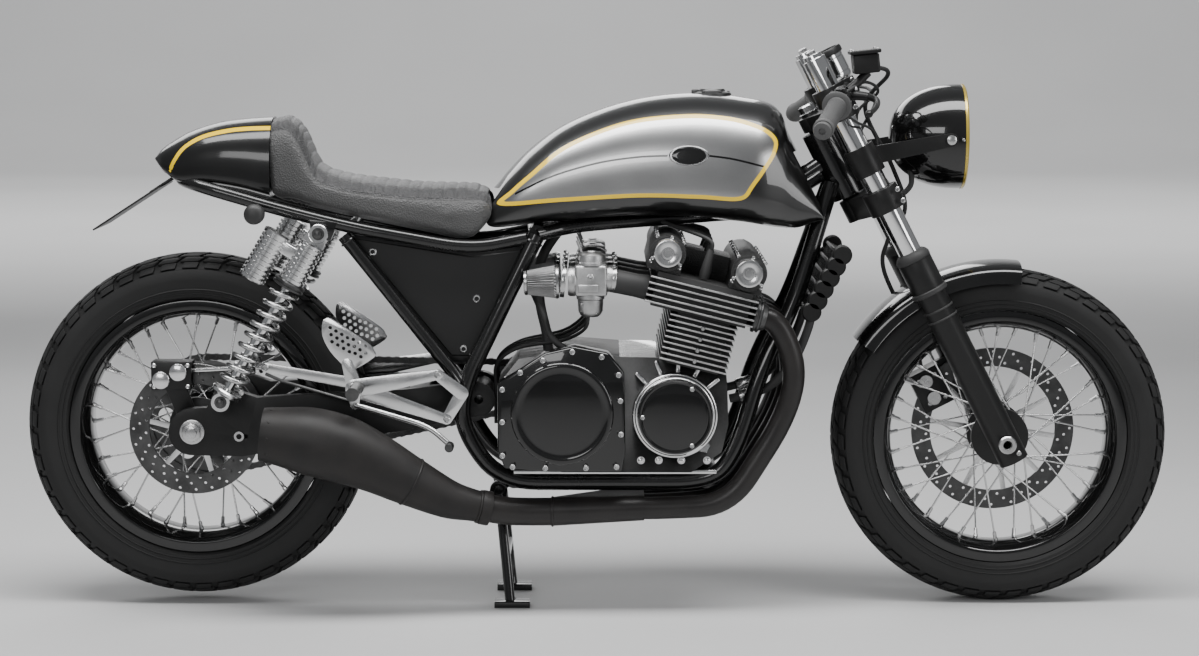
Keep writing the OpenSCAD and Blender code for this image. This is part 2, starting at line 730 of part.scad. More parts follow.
module tail_light() {
    color("#a01414") difference() {
        translate(c(-774, 0, 796)) rotate([0, -125, 0]) cylinder(r = 15, h = 16);
        // The tail's own surface, moved out by the seating gap
        translate([-seat_gap, 0, -seat_gap * 0.6]) tail_shape();
    }
}

module plate_bracket() {
    color("#1b1b1c") {
        translate(c(-775, 0, 768)) rotate([0, -33, 0]) difference() {
            union() {
                translate([-150, -90, -3]) cube([140, 180, 3]);
                translate([-40, -12, -3]) cube([51, 24, 6]);
            }
            for (y = [-45, 45]) translate([-75, y, -4]) cylinder(r = 3.25, h = 6);
        }
    }
}

stem_way = unit([0, 1, -0.36]);
stem_foot = c(-604, 96.5, 733) + (rear_tube_r + seat_gap) * stem_way;
module indicators() {
    color("#232324") both_sides() {
        rod(stem_foot, stem_foot + 40 * stem_way, 6);
        translate(stem_foot + 34 * stem_way) along_y(0, 0, 0, 36, 18);
    }
}

panel = [[-446, 676], [-225, 650], [-116, 656], [-216, 446], [-268, 446]];
panel_y = 76;
strut_peg = strut[0] + (strut[1] - strut[0]) / 6;
upright_peg = c(-169.4, 101.3, 550);
module side_panels() {
    color("#1a1a1b") both_sides() {
        translate(chassis) side_view(panel_y - 6, panel_y) polygon(panel);
        along_y(strut_peg.x, strut_peg.z, panel_y - 1, strut_peg.y - rear_tube_r - seat_gap, 5);
        along_y(upright_peg.x, upright_peg.z, panel_y - 1, upright_peg.y - frame_tube_r - seat_gap, 5);
    }
}

// ---------- Engine ----------

cyl_h = 92;
head_h = 62;
block_x = [-62, 60];
head_x = [-112, 84];
deck_front = block_point(block_x[1] + 4, 0, 0) - chassis;
deck_rear = block_point(block_x[0] - 4, 0, 0) - chassis;
crankcase_side = [
    [-178, 300], [-150, 266], [-60, 254], [168, 254], [222, 290], [234, 340], [deck_front.x + 2, 400],
    [deck_front.x, deck_front.z], [deck_rear.x, deck_rear.z], [40, 462], [-60, 470], [-140, 458], [-178, 410]
];
module crankcase() {
    color("#8a8a8c") difference() {
        union() {
            translate(chassis) side_view(-case_half_w, case_half_w) polygon(crankcase_side);
            // Feet that stand on the frame's lower rails
            for (x = [-60, 102]) both_sides() translate(c(x, cradle_half_w - 8, rail_z + frame_tube_r + seat_gap))
                cube([34, 16, 14]);
        }
        // Pocket behind the left cover where the chain turns round the gearbox sprocket
        translate([chassis.x - 200, sprocket_y - chain_t / 2 - 6, front_sprocket.z - 62])
            cube([front_sprocket.x - chassis.x + 200 + 58, case_half_w, 124]);
    }
}

// Core with fins all round; each fin reaches past the core by the same depth
module finned(x0, x1, half_w, h, pitch, depth) {
    translate([x0 + depth, -half_w + depth, 0]) cube([x1 - x0 - 2 * depth, 2 * (half_w - depth), h]);
    for (z = [pitch / 2:pitch:h - fin_t]) translate([x0, -half_w, z]) cube([x1 - x0, 2 * half_w, fin_t]);
}

module cylinders() { color("#3a3a3b") in_cylinders() translate([0, 0, seat_gap]) finned(block_x[0], block_x[1], block_half_w, cyl_h, 10, 14); }
module cylinder_head() {
    color("#6a6a6b") in_cylinders() translate([0, 0, cyl_h + 2 * seat_gap])
        finned(head_x[0], head_x[1], block_half_w + 4, head_h, 11, 12);
}

cam_x = [-92, 55];
cam_s = 189;
cam_r = 32;
module cam_cover() {
    color("#111112") in_cylinders() {
        s0 = cyl_h + head_h + 3 * seat_gap;
        for (x = cam_x) {
            translate([x - 30, -block_half_w + 12, s0]) cube([60, 2 * block_half_w - 24, cam_s - s0]);
            along_y(x, cam_s, -block_half_w + 4, block_half_w - 4, cam_r);
        }
        translate([cam_x[0], -60, s0]) cube([cam_x[1] - cam_x[0], 120, 44]);
    }
}

clutch_side = [[-176, 300], [-164, 268], [-80, 262], [44, 262], [50, 300], [48, 440], [20, 474], [-40, 486], [-92, 474], [-176, 420]];
module right_engine_covers() {
    color("#0e0e0f") {
        translate(chassis) side_view(-case_half_w - 48, -case_half_w - seat_gap) polygon(clutch_side);
        translate(c(138, 0, 362)) {
            along_y(0, 0, -case_half_w - 44, -case_half_w - seat_gap, 76);
            along_y(0, 0, -case_half_w - 62, -case_half_w - 44, 66);
        }
    }
}
module left_engine_covers() {
    color("#111112") {
        translate(c(138, 0, 362)) along_y(0, 0, case_half_w + seat_gap, case_half_w + 66, 74);
        translate(chassis) side_view(case_half_w + seat_gap, case_half_w + 26)
            polygon([[-186, 310], [-170, 276], [30, 276], [52, 320], [48, 430], [0, 452], [-120, 452], [-186, 416]]);
    }
}

carb_y = [-135, -45, 45, 135];
intake_s = cyl_h + 26;
carb_x = -10;
carb_z = 598;
module carburettors() {
    color("#9b9b9d") {
        for (y = carb_y) {
            rod(block_point(head_x[0] - seat_gap, y, intake_s), block_point(head_x[0] - 68, y, intake_s), 20);
            translate(c(carb_x - 36, y - 27, carb_z - 28)) cube([72, 54, 60]);
            translate(c(carb_x, y, carb_z - 64)) cylinder(r = 23, h = 40);
            translate(c(carb_x + 2, y, carb_z + 30)) cylinder(r = 26, h = 24);
            rod(c(carb_x - 30, y, carb_z), c(carb_x - 58, y, carb_z - 1), 25);
        }
        translate(c(carb_x - 26, -150, carb_z - 8)) cube([14, 300, 14]);
    }
}
module air_filters() {
    color("#7d7d7f") for (y = carb_y)
        translate(c(carb_x - 58 - seat_gap, y, carb_z - 1)) rotate([0, -92, 0]) cylinder(r1 = 31, r2 = 22, h = 62);
}

module oil_cooler() {
    color("#1a1a1b") translate(c(408.8, 0, 592)) rotate([0, 28, 0]) {
        translate([-16, -110, -66]) cube([32, 220, 132]);
        for (y = [-1, 1], k = [0:5]) translate([0, y * 112, -58 + k * 23]) rotate([90, 0, 0]) cylinder(r = 18, h = 12, center = true);
    }
}

// ---------- Exhaust ----------

port_s = cyl_h + 24;
low_y = [-134, -92, -50, -8];
low_z = 190;
module exhaust_pipes() {
    color("#1f1f20") welded() {
        for (k = [0:3]) {
            path = rounded([
                block_point(head_x[1] + seat_gap, carb_y[k], port_s), block_point(head_x[1] + 46, carb_y[k], port_s),
                c(356, carb_y[k], 440), c(334, carb_y[k] * 0.94, 350),
                c(236, mid(low_y[k], carb_y[k]), low_z + 6), c(120, low_y[k], low_z), c(60, low_y[k], low_z)
            ], 62, 5);
            sweep(path, pipe_r, 14);
        }
        // Collector: four pipes become one
        hull() {
            for (y = low_y) translate(c(84, y, low_z)) rotate([0, -90, 0]) cylinder(r = pipe_r + 2, h = 14, $fn = 20);
            translate(c(-70, -134, 184)) rotate([0, -90, 0]) cylinder(r = 26, h = 10, $fn = 24);
        }
        sweep([c(-78, -134, 184), c(-120, -136, 184), pipe_bend, pipe_end], 25, 18);
    }
}

pipe_bend = c(-160, -140, 186);
pipe_end = c(-196, -146, 192);
pipe_way = unit(pipe_end - pipe_bend);
silencer_path = [
    pipe_end + seat_gap * pipe_way, pipe_end + 30 * pipe_way, c(-268, -160, 212), c(-330, -172, 244), c(-395, -183, 280),
    c(-452, -188, 305), c(-510, -190, 320), c(-560, -190, 328), c(-592, -190, 332)
];
silencer_radii = [27, 29, 35, 44, 53, 60, 60, 52, 47];
module silencer() {
    color("#1b1b1c") difference() {
        sweep(silencer_path, [for (r = silencer_radii) r * silencer_r / 60], 28);
        sweep([for (k = [6:8]) silencer_path[k] + (k == 8 ? [-5, 0, 1] : [0, 0, 0])], 34, 20);
    }
}

// ---------- Rear suspension ----------

arm_front_y = 66;
arm_root = 60;
arm_flare = 128;
shock_low = [pivot.x - 454, 0, pivot.z + 5];
module swingarm() {
    module arm_side() {
        polygon([
            [pivot.x, pivot.z + 30], [shock_low.x + 60, pivot.z + 8], [shock_low.x + 14, shock_low.z + 18],
            [shock_low.x - 14, shock_low.z + 18], [shock_low.x - 30, rear_axle.z + 44], [rear_axle.x, rear_axle.z + 42],
            [rear_axle.x, rear_axle.z - 42], [rear_axle.x + 90, rear_axle.z - 44], [pivot.x, pivot.z - 30]
        ]);
        translate([rear_axle.x, rear_axle.z]) circle(r = 42);
        translate([pivot.x, pivot.z]) circle(r = 30);
    }
    module arm_plan() {
        far = rear_axle.x - 60;
        near = pivot.x + 40;
        polygon([
            [near, arm_front_y], [pivot.x - arm_root, arm_front_y], [pivot.x - arm_flare, arm_in_y], [far, arm_in_y],
            [far, arm_in_y + arm_w], [pivot.x - arm_flare, arm_in_y + arm_w], [pivot.x - arm_root, arm_front_y + arm_w],
            [near, arm_front_y + arm_w]
        ]);
    }
    color("#1a1a1b") difference() {
        union() {
            both_sides() intersection() {
                side_view(0, 200) arm_side();
                linear_extrude(height = 800) arm_plan();
            }
            translate([pivot.x - 124, -arm_in_y - 4, pivot.z - 26]) cube([34, 2 * arm_in_y + 8, 48]);
            along_y(pivot.x, pivot.z, -arm_front_y - 4, arm_front_y + 4, 24);
        }
        translate(rear_axle) along_y(0, 0, -200, 200, axle_r + axle_fit);
        both_sides() along_y(rear_axle.x + 96, rear_axle.z - 8, arm_in_y + arm_w - 18, arm_in_y + arm_w + 2, 4);
        along_y(pivot.x, pivot.z, -200, 200, 8);
    }
}

shock_top = c(-491, 0, 684);
shock_y = 155;
shock_plate_y = 112;
shock_len = norm([shock_low.x - shock_top.x, shock_low.z - shock_top.z]);
shock_tilt = atan2(shock_top.x - shock_low.x, shock_top.z - shock_low.z);
// Shock frame: Z runs from the lower eye up to the top eye
module in_shock() { translate([shock_low.x, 0, shock_low.z]) rotate([0, shock_tilt, 0]) children(); }
module shock_absorbers() {
    color("#c9c9cb") both_sides() in_shock() translate([0, shock_y, 0]) {
        difference() {
            union() {
                for (z = [0, shock_len]) translate([0, 0, z]) rotate([90, 0, 0]) cylinder(r = 17, h = 22, center = true);
                translate([0, 0, 14]) cylinder(r = 9, h = shock_len - 30);
                translate([0, 0, 16]) cylinder(r = 29, h = 8);
                translate([0, 0, 236]) cylinder(r = 29, h = 8);
                translate([0, 0, 244]) cylinder(r = 24, h = shock_len - 244 - 14);
                translate([-62, -14, shock_len - 66]) cube([60, 26, 26]);
                translate([-62, 0, shock_len - 130]) cylinder(r = 25, h = 96);
            }
            for (z = [0, shock_len]) translate([0, 0, z]) rotate([90, 0, 0]) cylinder(r = 7, h = 40, center = true);
        }
    }
    // Pins that carry the eyes on the swingarm and on the rear frame
    color("#c9c9cb") both_sides() {
        along_y(shock_low.x, shock_low.z, arm_in_y + arm_w + seat_gap, shock_y + 14, 6.9);
        along_y(shock_top.x, shock_top.z, shock_plate_y + seat_gap, shock_y + 14, 6.9);
    }
}
module shock_springs() {
    z0 = 24 + seat_gap;
    h = 236 - 24 - 2 * seat_gap;
    turns = 9;
    color("#2c2c2e") both_sides() in_shock() translate([0, shock_y, z0 + 4.5])
        skin([for (i = [0:turns * 10]) let (a = i * 36, z = (h - 9) * i / (turns * 10))
            [for (k = [0:6]) let (b = k * 360 / 7)
                [(23 + 4.5 * cos(b)) * cos(a), (23 + 4.5 * cos(b)) * sin(a), z + 4.5 * sin(b)]]]);
}

module rear_caliper() {
    p = rear_axle + [-44, 0, 92];
    color("#2a2a2b") difference() {
        union() {
            translate([p.x - 30, rear_disc_y - 26, p.z - 18]) cube([72, 48, 50]);
            // Bracket down to the axle, inside the swingarm
            translate([rear_axle.x, 0, rear_axle.z]) side_view(-arm_in_y + seat_gap, -arm_in_y + 6)
                polygon([[-60, 96], [-20, 96], [18, 0], [-18, 0]]);
            translate(rear_axle) along_y(0, 0, -arm_in_y + seat_gap, -arm_in_y + 6, 22);
        }
        translate(rear_axle) along_y(0, 0, rear_disc_y - disc_t / 2 - pad_gap, rear_disc_y + disc_t / 2 + pad_gap, rear_disc_r + pad_gap);
        translate(rear_axle) along_y(0, 0, -arm_in_y, -arm_in_y + 12, axle_r + axle_fit);
    }
}

// ---------- Rider's controls ----------

plate_shape = [
    [-228, 386], [-260, 352], [-276, 350], [-430, 388], [-452, 414], [-470, 466], [-486, 528], [-470, 536],
    [-440, 500], [-424, 436], [-400, 422], [-290, 442], [-276, 446], [-228, 412]
];
module footrests() {
    color("#c9c9cb") both_sides() {
        translate(chassis) side_view(132, 140) polygon(plate_shape);
        // Boss that bolts the plate to the frame's upright tube
        translate(chassis) along_y(-241, 398, cradle_half_w + frame_tube_r + seat_gap, 134, 9);
        along_y(chassis.x - 428, 408, 139, 236, 11);
    }
}

// ---------- Stand ----------

stand_pin_r = 8;
lug_in_y = stand_half_w - 24;
leg_y = stand_half_w - 7;
// Frame lugs that hang from the rear cross tube, with the pins that the stand turns on
module stand_lugs() {
    color("#161617") both_sides() difference() {
        union() {
            side_view(lug_in_y, lug_in_y + 8) lug_outline();
            translate(stand_pivot) along_y(0, 0, lug_in_y, stand_half_w + 3, stand_pin_r - running_fit);
        }
        translate(c(cross_x, 0, rail_z)) along_y(0, 0, 0, 200, cross_r + seat_gap / 3);
    }
}
module lug_outline() {
    polygon([
        for (k = [0:8]) let (a = 60 + k * 22.5) [stand_pivot.x, stand_pivot.z] + 14 * [cos(a), sin(a)],
        for (k = [0:8]) let (a = 240 + k * 22.5) [chassis.x + cross_x, rail_z] + 20 * [cos(a), sin(a)]
    ]);
}

module centre_stand() {
    floor_z = -stand_pivot.z;
    color("#161617") translate(stand_pivot) {
        both_sides() difference() {
            union() {
                along_y(0, 0, stand_half_w - 14, stand_half_w, 16);
                rod([0, leg_y, 0], [20, leg_y + 3, floor_z + 10], 9);
                translate([-8, stand_half_w - 20, floor_z]) cube([64, 34, 12]);
            }
            along_y(0, 0, 0, 200, stand_pin_r);
        }
        along_y(13, -120, -leg_y, leg_y, 8);
    }
}

front_tyre();
front_rim();
front_spokes();
front_hub();
front_disc();
front_axle_part();  // front_axle
rear_tyre();
rear_rim();
rear_spokes();
rear_hub();
rear_disc();
rear_sprocket();
rear_axle_part();  // rear_axle
fork_yokes();
fork_tubes();
fork_sliders();
handlebars();
grips();
hand_controls();
headlight_shell();
headlight_lens();
headlight_bracket();
speedometer();
front_mudguard();
front_caliper();
front_brake_hose();
steering_head();
frame();
rear_frame();
fuel_tank();
fuel_cap();
seat();
tail_cowl();
tail_light();
plate_bracket();
indicators();
side_panels();
crankcase();
cylinders();
cylinder_head();
cam_cover();
right_engine_covers();
left_engine_covers();
carburettors();
air_filters();
oil_cooler();
exhaust_pipes();
silencer();
swingarm();
shock_absorbers();
shock_springs();
drive_chain();
rear_caliper();
footrests();
stand_lugs();
centre_stand();
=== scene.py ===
# %% [markdown]
# # Dressing a cafe racer motorcycle
# The machine arrives as a packed assembly: every casting, tube and wheel already has its real
# place and size in metres. This lesson gives each of them the surface that a maker would give it,
# and builds the fine pieces, such as tread, screws and stitches, around that fixed frame.

# %% Load the frame
import json
import math

import bmesh
import bpy
from mathutils import Matrix, Vector


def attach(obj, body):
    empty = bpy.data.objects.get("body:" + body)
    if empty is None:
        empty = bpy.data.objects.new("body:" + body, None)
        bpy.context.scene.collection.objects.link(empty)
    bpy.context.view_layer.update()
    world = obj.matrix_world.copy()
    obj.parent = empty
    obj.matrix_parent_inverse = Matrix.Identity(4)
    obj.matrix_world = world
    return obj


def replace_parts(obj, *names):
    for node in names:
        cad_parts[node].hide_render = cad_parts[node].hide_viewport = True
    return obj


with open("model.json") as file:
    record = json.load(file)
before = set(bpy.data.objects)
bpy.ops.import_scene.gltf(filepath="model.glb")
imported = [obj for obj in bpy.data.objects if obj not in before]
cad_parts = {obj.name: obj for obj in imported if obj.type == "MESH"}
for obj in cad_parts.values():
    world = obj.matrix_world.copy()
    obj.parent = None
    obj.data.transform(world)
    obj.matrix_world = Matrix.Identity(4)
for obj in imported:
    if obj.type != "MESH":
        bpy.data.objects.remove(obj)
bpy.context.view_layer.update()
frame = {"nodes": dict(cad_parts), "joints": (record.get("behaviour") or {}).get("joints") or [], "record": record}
nodes = frame["nodes"]
joint_at = {j["name"]: Vector(j["pos_m"]) for j in frame["joints"]}
body_of = {n: b for b, names in frame["record"]["behaviour"]["bodies"].items() for n in names}
MM = 0.001


def link(obj):
    bpy.context.scene.collection.objects.link(obj)
    return obj


# %% [markdown]
# ## Camera and studio
# The machine is seen from its right side through a long lens, a little above the tank, so the
# wheels stay round. A pale paper sweep and five soft lamps do the rest: gloss black paint shows
# only what it mirrors, so the lamps are long and sit where their edges draw the shapes.

# %% Camera
camera_data = bpy.data.cameras.new("camera")
camera_data.lens = 87.9
camera_data.sensor_width = 36.0
camera = bpy.data.objects.new("camera", camera_data)
camera.location = (0.004, -5.3, 1.1)
camera.rotation_euler = (math.radians(90 - 6.47), 0, 0)
link(camera)
bpy.context.scene.camera = camera
print("lens", camera_data.lens)


# %% Helpers that turn a bmesh into a piece
def mesh_of(name, bm):
    """Empties a bmesh into a new mesh."""
    mesh = bpy.data.meshes.new(name)
    bm.to_mesh(mesh)
    bm.free()
    return mesh


def shade(mesh, angle):
    """Smooth shading that stays sharp where faces meet at more than the angle."""
    mesh.shade_smooth()
    mesh.set_sharp_from_angle(angle=math.radians(angle))


def piece(name, bm, body, materials, smooth=40, replaces=()):
    """Writes the bmesh to an object that rides on a body and carries its materials."""
    bmesh.ops.scale(bm, vec=(MM, MM, MM), verts=bm.verts)
    mesh = mesh_of(name, bm)
    for m in materials:
        mesh.materials.append(m)
    if smooth is not None:
        shade(mesh, smooth)
    obj = link(bpy.data.objects.new(name, mesh))
    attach(obj, body)
    if replaces:
        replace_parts(obj, *replaces)
    return obj


def stand_in(name, bm, node, materials, smooth=40):
    """A piece in the place of a solid, on the same body; the solid is hidden."""
    return piece(name, bm, body_of[node], materials, smooth, (node,))


def verts_of(geom):
    return [g for g in geom if isinstance(g, bmesh.types.BMVert)]


def move(bm, matrix):
    bmesh.ops.transform(bm, matrix=matrix, verts=bm.verts)
    return bm


def outward(bm):
    bmesh.ops.recalc_face_normals(bm, faces=bm.faces)


def placed(at, axis):
    """Where a part goes: its own Z along axis, its origin at a point in millimetres."""
    return Matrix.Translation(Vector(at)) @ Vector(axis).to_track_quat("Z", "Y").to_matrix().to_4x4()


def add(bm, part, where=None, material=None):
    """Adds one bmesh to another, moved and given a material number."""
    if where is not None:
        move(part, where)
    if material is not None:
        for f in part.faces:
            f.material_index = material
    mesh = mesh_of("part", part)
    bm.from_mesh(mesh)
    bpy.data.meshes.remove(mesh)


def lathe(profile, steps=32):
    """Turns a profile of (radius, height) pairs about Z."""
    bm = bmesh.new()
    line = [bm.verts.new((r, 0, h)) for r, h in profile]
    edges = [bm.edges.new(pair) for pair in zip(line, line[1:])]
    bmesh.ops.spin(bm, geom=line + edges, cent=(0, 0, 0), axis=(0, 0, 1), angle=math.tau, steps=steps, use_merge=True,
                   use_duplicate=False)
    bmesh.ops.remove_doubles(bm, verts=bm.verts, dist=1e-4)
    outward(bm)
    return bm


def tube(path, radius, sides=14):
    """Round tube along a path; radius is one number or one for each point."""
    bm = bmesh.new()
    points = [Vector(p) for p in path]
    last = len(points) - 1
    rings, side = [], None
    for i, p in enumerate(points):
        way = (points[min(i + 1, last)] - points[max(i - 1, 0)]).normalized()
        if side is None:
            side = way.orthogonal()
        side = (side - way * side.dot(way)).normalized()
        up = way.cross(side)
        r = radius[i] if isinstance(radius, (list, tuple)) else radius
        ring = bmesh.ops.create_circle(bm, cap_ends=False, segments=sides, radius=1.0)["verts"]
        for v in ring:
            v.co = p + side * (v.co.x * r) + up * (v.co.y * r)
        rings.append(ring)
    join_rings(bm, rings)
    return bm


def join_rings(bm, rings):
    """Walls between neighbouring rings, and a cap on each end."""
    for a, b in zip(rings, rings[1:]):
        both = set(a) | set(b)
        loops = {e for v in both for e in v.link_edges if len(e.link_faces) < 2 and all(w in both for w in e.verts)}
        bmesh.ops.bridge_loops(bm, edges=list(loops))
    bmesh.ops.holes_fill(bm, edges=[e for e in bm.edges if e.is_boundary], sides=0)
    outward(bm)


def screw(radius=5.0, height=5.0):
    """Cap screw with a round-cornered head and a socket."""
    return lathe([(0, height - 2.4), (radius * 0.52, height - 2.4), (radius * 0.58, height - 0.2),
                  (radius * 0.8, height),
                  (radius, height - 0.8), (radius, 0), (0, 0)], 12)


def washer_stack(radius=8.0, height=9.0):
    """Domed nut on a washer."""
    return lathe([(0, height), (radius * 0.35, height * 0.97), (radius * 0.66, height * 0.8),
                  (radius * 0.74, height * 0.4),
                  (radius * 0.76, height * 0.2), (radius, height * 0.2), (radius, 0), (0, 0)], 12)


# %% Floor and far backdrop in one curved sheet
BEND_R = 5.0


def studio_sweep():
    """Level paper that rises in a wide curve thirteen metres behind the machine, so it has no horizon line."""
    bm = bmesh.new()
    edge = bm.edges.new([bm.verts.new((-26, -26, 0)), bm.verts.new((26, -26, 0))])
    turns = [(math.cos(math.radians(a)), math.sin(math.radians(a))) for a in range(0, 96, 6)]
    steps = [(0, 39, 0)] + [(0, BEND_R * (s2 - s1), BEND_R * (c1 - c2)) for (c1, s1),
                            (c2, s2) in zip(turns, turns[1:])]
    steps.append((0, 0, 14))
    for step in steps:
        made = bmesh.ops.extrude_edge_only(bm, edges=[edge])["geom"]
        moved = verts_of(made)
        bmesh.ops.translate(bm, verts=moved, vec=step)
        edge = [e for e in made if isinstance(e, bmesh.types.BMEdge) and all(v in moved for v in e.verts)][0]
    outward(bm)
    mesh = mesh_of("studio_sweep", bm)
    mesh.shade_smooth()
    return link(bpy.data.objects.new("studio_sweep", mesh))


floor = studio_sweep()
print("floor faces", len(floor.data.polygons))


# %% Soft lamps
def lamp(name, at, towards, size, power):
    data = bpy.data.lights.new(name, "AREA")
    data.shape = "RECTANGLE"
    data.size, data.size_y = size
    data.energy = power
    obj = link(bpy.data.objects.new(name, data))
    obj.location = at
    obj.rotation_euler = (Vector(towards) - Vector(at)).to_track_quat("-Z", "Y").to_euler()


lamp("lamp_over", (0.0, -0.7, 3.3), (0.0, 0.1, 0.5), (4.4, 1.0), 190)
lamp("lamp_side", (-1.6, -4.6, 2.3), (0.0, 0.0, 0.5), (2.4, 1.2), 52)
lamp("lamp_nose", (3.6, -2.4, 1.6), (0.3, 0.0, 0.6), (1.2, 2.2), 40)
lamp("lamp_back", (-1.0, 3.4, 2.6), (0.0, 0.0, 0.7), (4.0, 1.4), 70)
lamp("lamp_backdrop", (0.0, 7.0, 5.5), (0.0, 15.5, 0.0), (12.0, 2.0), 1100)
world = bpy.data.worlds.new("studio")
bpy.context.scene.world = world
world.use_nodes = True
sky = world.node_tree.nodes["Background"].inputs
sky["Color"].default_value, sky["Strength"].default_value = (0.92, 0.94, 0.97, 1), 0.26

# %% [markdown]
# ## Finishes
# No painted or cast surface is one flat colour. Two shared node groups supply the changes: one
# gives slow patches and fine specks, the other gives relief for a bump. Each finish places them
# with its own scale, while the numbers that are the same all over stay on the shader.


# %% Shared groups
def put(tree, kind, inputs=(), **settings):
    """New shader node. Each input is a socket with its value, or with the output that feeds it."""
    made = tree.nodes.new("ShaderNode" + kind)
    for label, value in settings.items():
        setattr(made, label, value)
    for socket, value in inputs:
        if isinstance(value, bpy.types.NodeSocket):
            tree.links.new(value, made.inputs[socket])
        else:
            made.inputs[socket].default_value = value
    return made


def node_group(name, inputs, outputs):
    group = bpy.data.node_groups.new(name, "ShaderNodeTree")
    for label, value in inputs:
        socket = group.interface.new_socket(name=label, in_out="INPUT", socket_type="NodeSocketFloat")
        socket.default_value = value
    for label in outputs:
        group.interface.new_socket(name=label, in_out="OUTPUT", socket_type="NodeSocketFloat")
    return group, group.nodes.new("NodeGroupInput"), group.nodes.new("NodeGroupOutput")


def patches_group():
    group, given, result = node_group("patches", [("Patch Size", 0.1), ("Speck Size", 0.004)], ["Patches", "Specks"])
    place = put(group, "TexCoord").outputs["Object"]
    for label, out in (("Patch Size", "Patches"), ("Speck Size", "Specks")):
        turns = put(group, "Math", [(0, 1.0), (1, given.outputs[label])], operation="DIVIDE")
        noise = put(group, "TexNoise", [("Detail", 3.0), ("Scale", turns.outputs[0]), ("Vector", place)])
        spread = put(group, "MapRange", [("From Min", 0.3), ("From Max", 0.7), ("Value", noise.outputs["Fac"])])
        group.links.new(spread.outputs[0], result.inputs[out])
    return group


def relief_group():
    group, given, result = node_group("relief", [("Grain Size", 0.001), ("Pits", 0.5)], ["Height"])
    place = put(group, "TexCoord").outputs["Object"]
    turns = put(group, "Math", [(0, 1.0), (1, given.outputs["Grain Size"])], operation="DIVIDE").outputs[0]
    noise, cells = (put(group, kind, [("Vector", place), ("Scale", turns)]) for kind in ("TexNoise", "TexVoronoi"))
    mix = put(group, "Mix", [(0, given.outputs["Pits"]), (2, noise.outputs["Fac"]), (3, cells.outputs["Distance"])])
    group.links.new(mix.outputs[0], result.inputs["Height"])
    return group


patches, relief = patches_group(), relief_group()
print("groups", patches.name, relief.name)


# %% One maker of finishes
SPECK_SHARE = 0.25


def over(tree, factor, below, above):
    """One colour over another where the factor is 1."""
    return put(tree, "Mix", [(0, factor), (6, below), (7, above)], data_type="RGBA").outputs[2]


def mask(tree, attribute, low, high):
    """Rises from 0 to 1 as a distance stored on the points goes from low to high."""
    read = put(tree, "Attribute", attribute_name=attribute)
    return put(tree, "MapRange", [("From Min", low), ("From Max", high), ("Value", read.outputs["Fac"])]).outputs[0]


def repaint(mat, colour_from):
    """Feeds Base Color from what colour_from makes of the colour that is there."""
    base = mat.node_tree.nodes["Principled BSDF"].inputs["Base Color"]
    mat.node_tree.links.new(colour_from(mat.node_tree, base.links[0].from_socket), base)
    return mat


def finish(name, dark, light, rough, metallic=0.0, patch=0.12, speck=0.003, grain=0.0008, pits=0.3, bump=0.05,
           coat=0.0, coat_rough=0.05, **sockets):
    """dark and light are the two colours the patches run between; rough is a (low, high) pair."""
    mat = bpy.data.materials.new(name)
    mat.use_nodes = True
    tree, shader = mat.node_tree, mat.node_tree.nodes["Principled BSDF"]
    same = {"Metallic": metallic, "Coat Weight": coat, "Coat Roughness": coat_rough}
    same.update({label.replace("_", " "): value for label, value in sockets.items()})
    for label, value in same.items():
        shader.inputs[label].default_value = value
    change = put(tree, "Group", [("Patch Size", patch), ("Speck Size", speck)], node_tree=patches)
    both = put(tree, "Mix", [(0, SPECK_SHARE), (2, change.outputs["Patches"]),
                             (3, change.outputs["Specks"])]).outputs[0]
    tree.links.new(over(tree, both, (*dark, 1), (*light, 1)), shader.inputs["Base Color"])
    gloss = put(tree, "MapRange", [("To Min", rough[0]), ("To Max", rough[1]), ("Value", both)])
    tree.links.new(gloss.outputs[0], shader.inputs["Roughness"])
    if bump:
        height = put(tree, "Group", [("Grain Size", grain), ("Pits", pits)], node_tree=relief)
        raised = put(tree, "Bump", [("Strength", bump), ("Distance", grain), ("Height", height.outputs["Height"])])
        tree.links.new(raised.outputs["Normal"], shader.inputs["Normal"])
    return mat


def grey(v):
    return (v, v, v)


gloss_black = finish("gloss_black", grey(0.003), grey(0.006), (0.16, 0.24), bump=0.02, grain=0.002, coat=1.0,
                     coat_rough=0.03, Specular_IOR_Level=0.15)
satin_black = finish("satin_black", grey(0.007), grey(0.014), (0.32, 0.44), bump=0.12, grain=0.0006,
                     Specular_IOR_Level=0.28)
crackle_black = finish("crackle_black", grey(0.006), grey(0.013), (0.40, 0.52), bump=0.5, grain=0.0022, pits=0.9)
heat_black = finish("heat_black", (0.010, 0.0095, 0.0095), (0.020, 0.018, 0.017), (0.42, 0.56), bump=0.3,
                    grain=0.0007, patch=0.05, Specular_IOR_Level=0.3)
frame_black = finish("frame_black", grey(0.004), grey(0.007), (0.22, 0.30), bump=0.04, grain=0.002, coat=0.8,
                     coat_rough=0.06, Specular_IOR_Level=0.2)
chrome_plate = finish("chrome_plate", grey(0.66), grey(0.76), (0.04, 0.10), metallic=1.0, bump=0.01)
bright_steel = finish("bright_steel", grey(0.42), grey(0.58), (0.20, 0.32), metallic=1.0, bump=0.06, patch=0.03)
dark_steel = finish("dark_steel", grey(0.07), grey(0.13), (0.34, 0.48), metallic=1.0, bump=0.15, patch=0.02)
spoke_steel = finish("spoke_steel", grey(0.55), grey(0.70), (0.18, 0.28), metallic=1.0, bump=0.02)
polished_alloy = finish("polished_alloy", grey(0.60), grey(0.76), (0.14, 0.28), metallic=1.0, bump=0.05, patch=0.04)
fin_black = finish("fin_black", grey(0.016), grey(0.030), (0.48, 0.62), bump=0.4, grain=0.0012, pits=0.6)
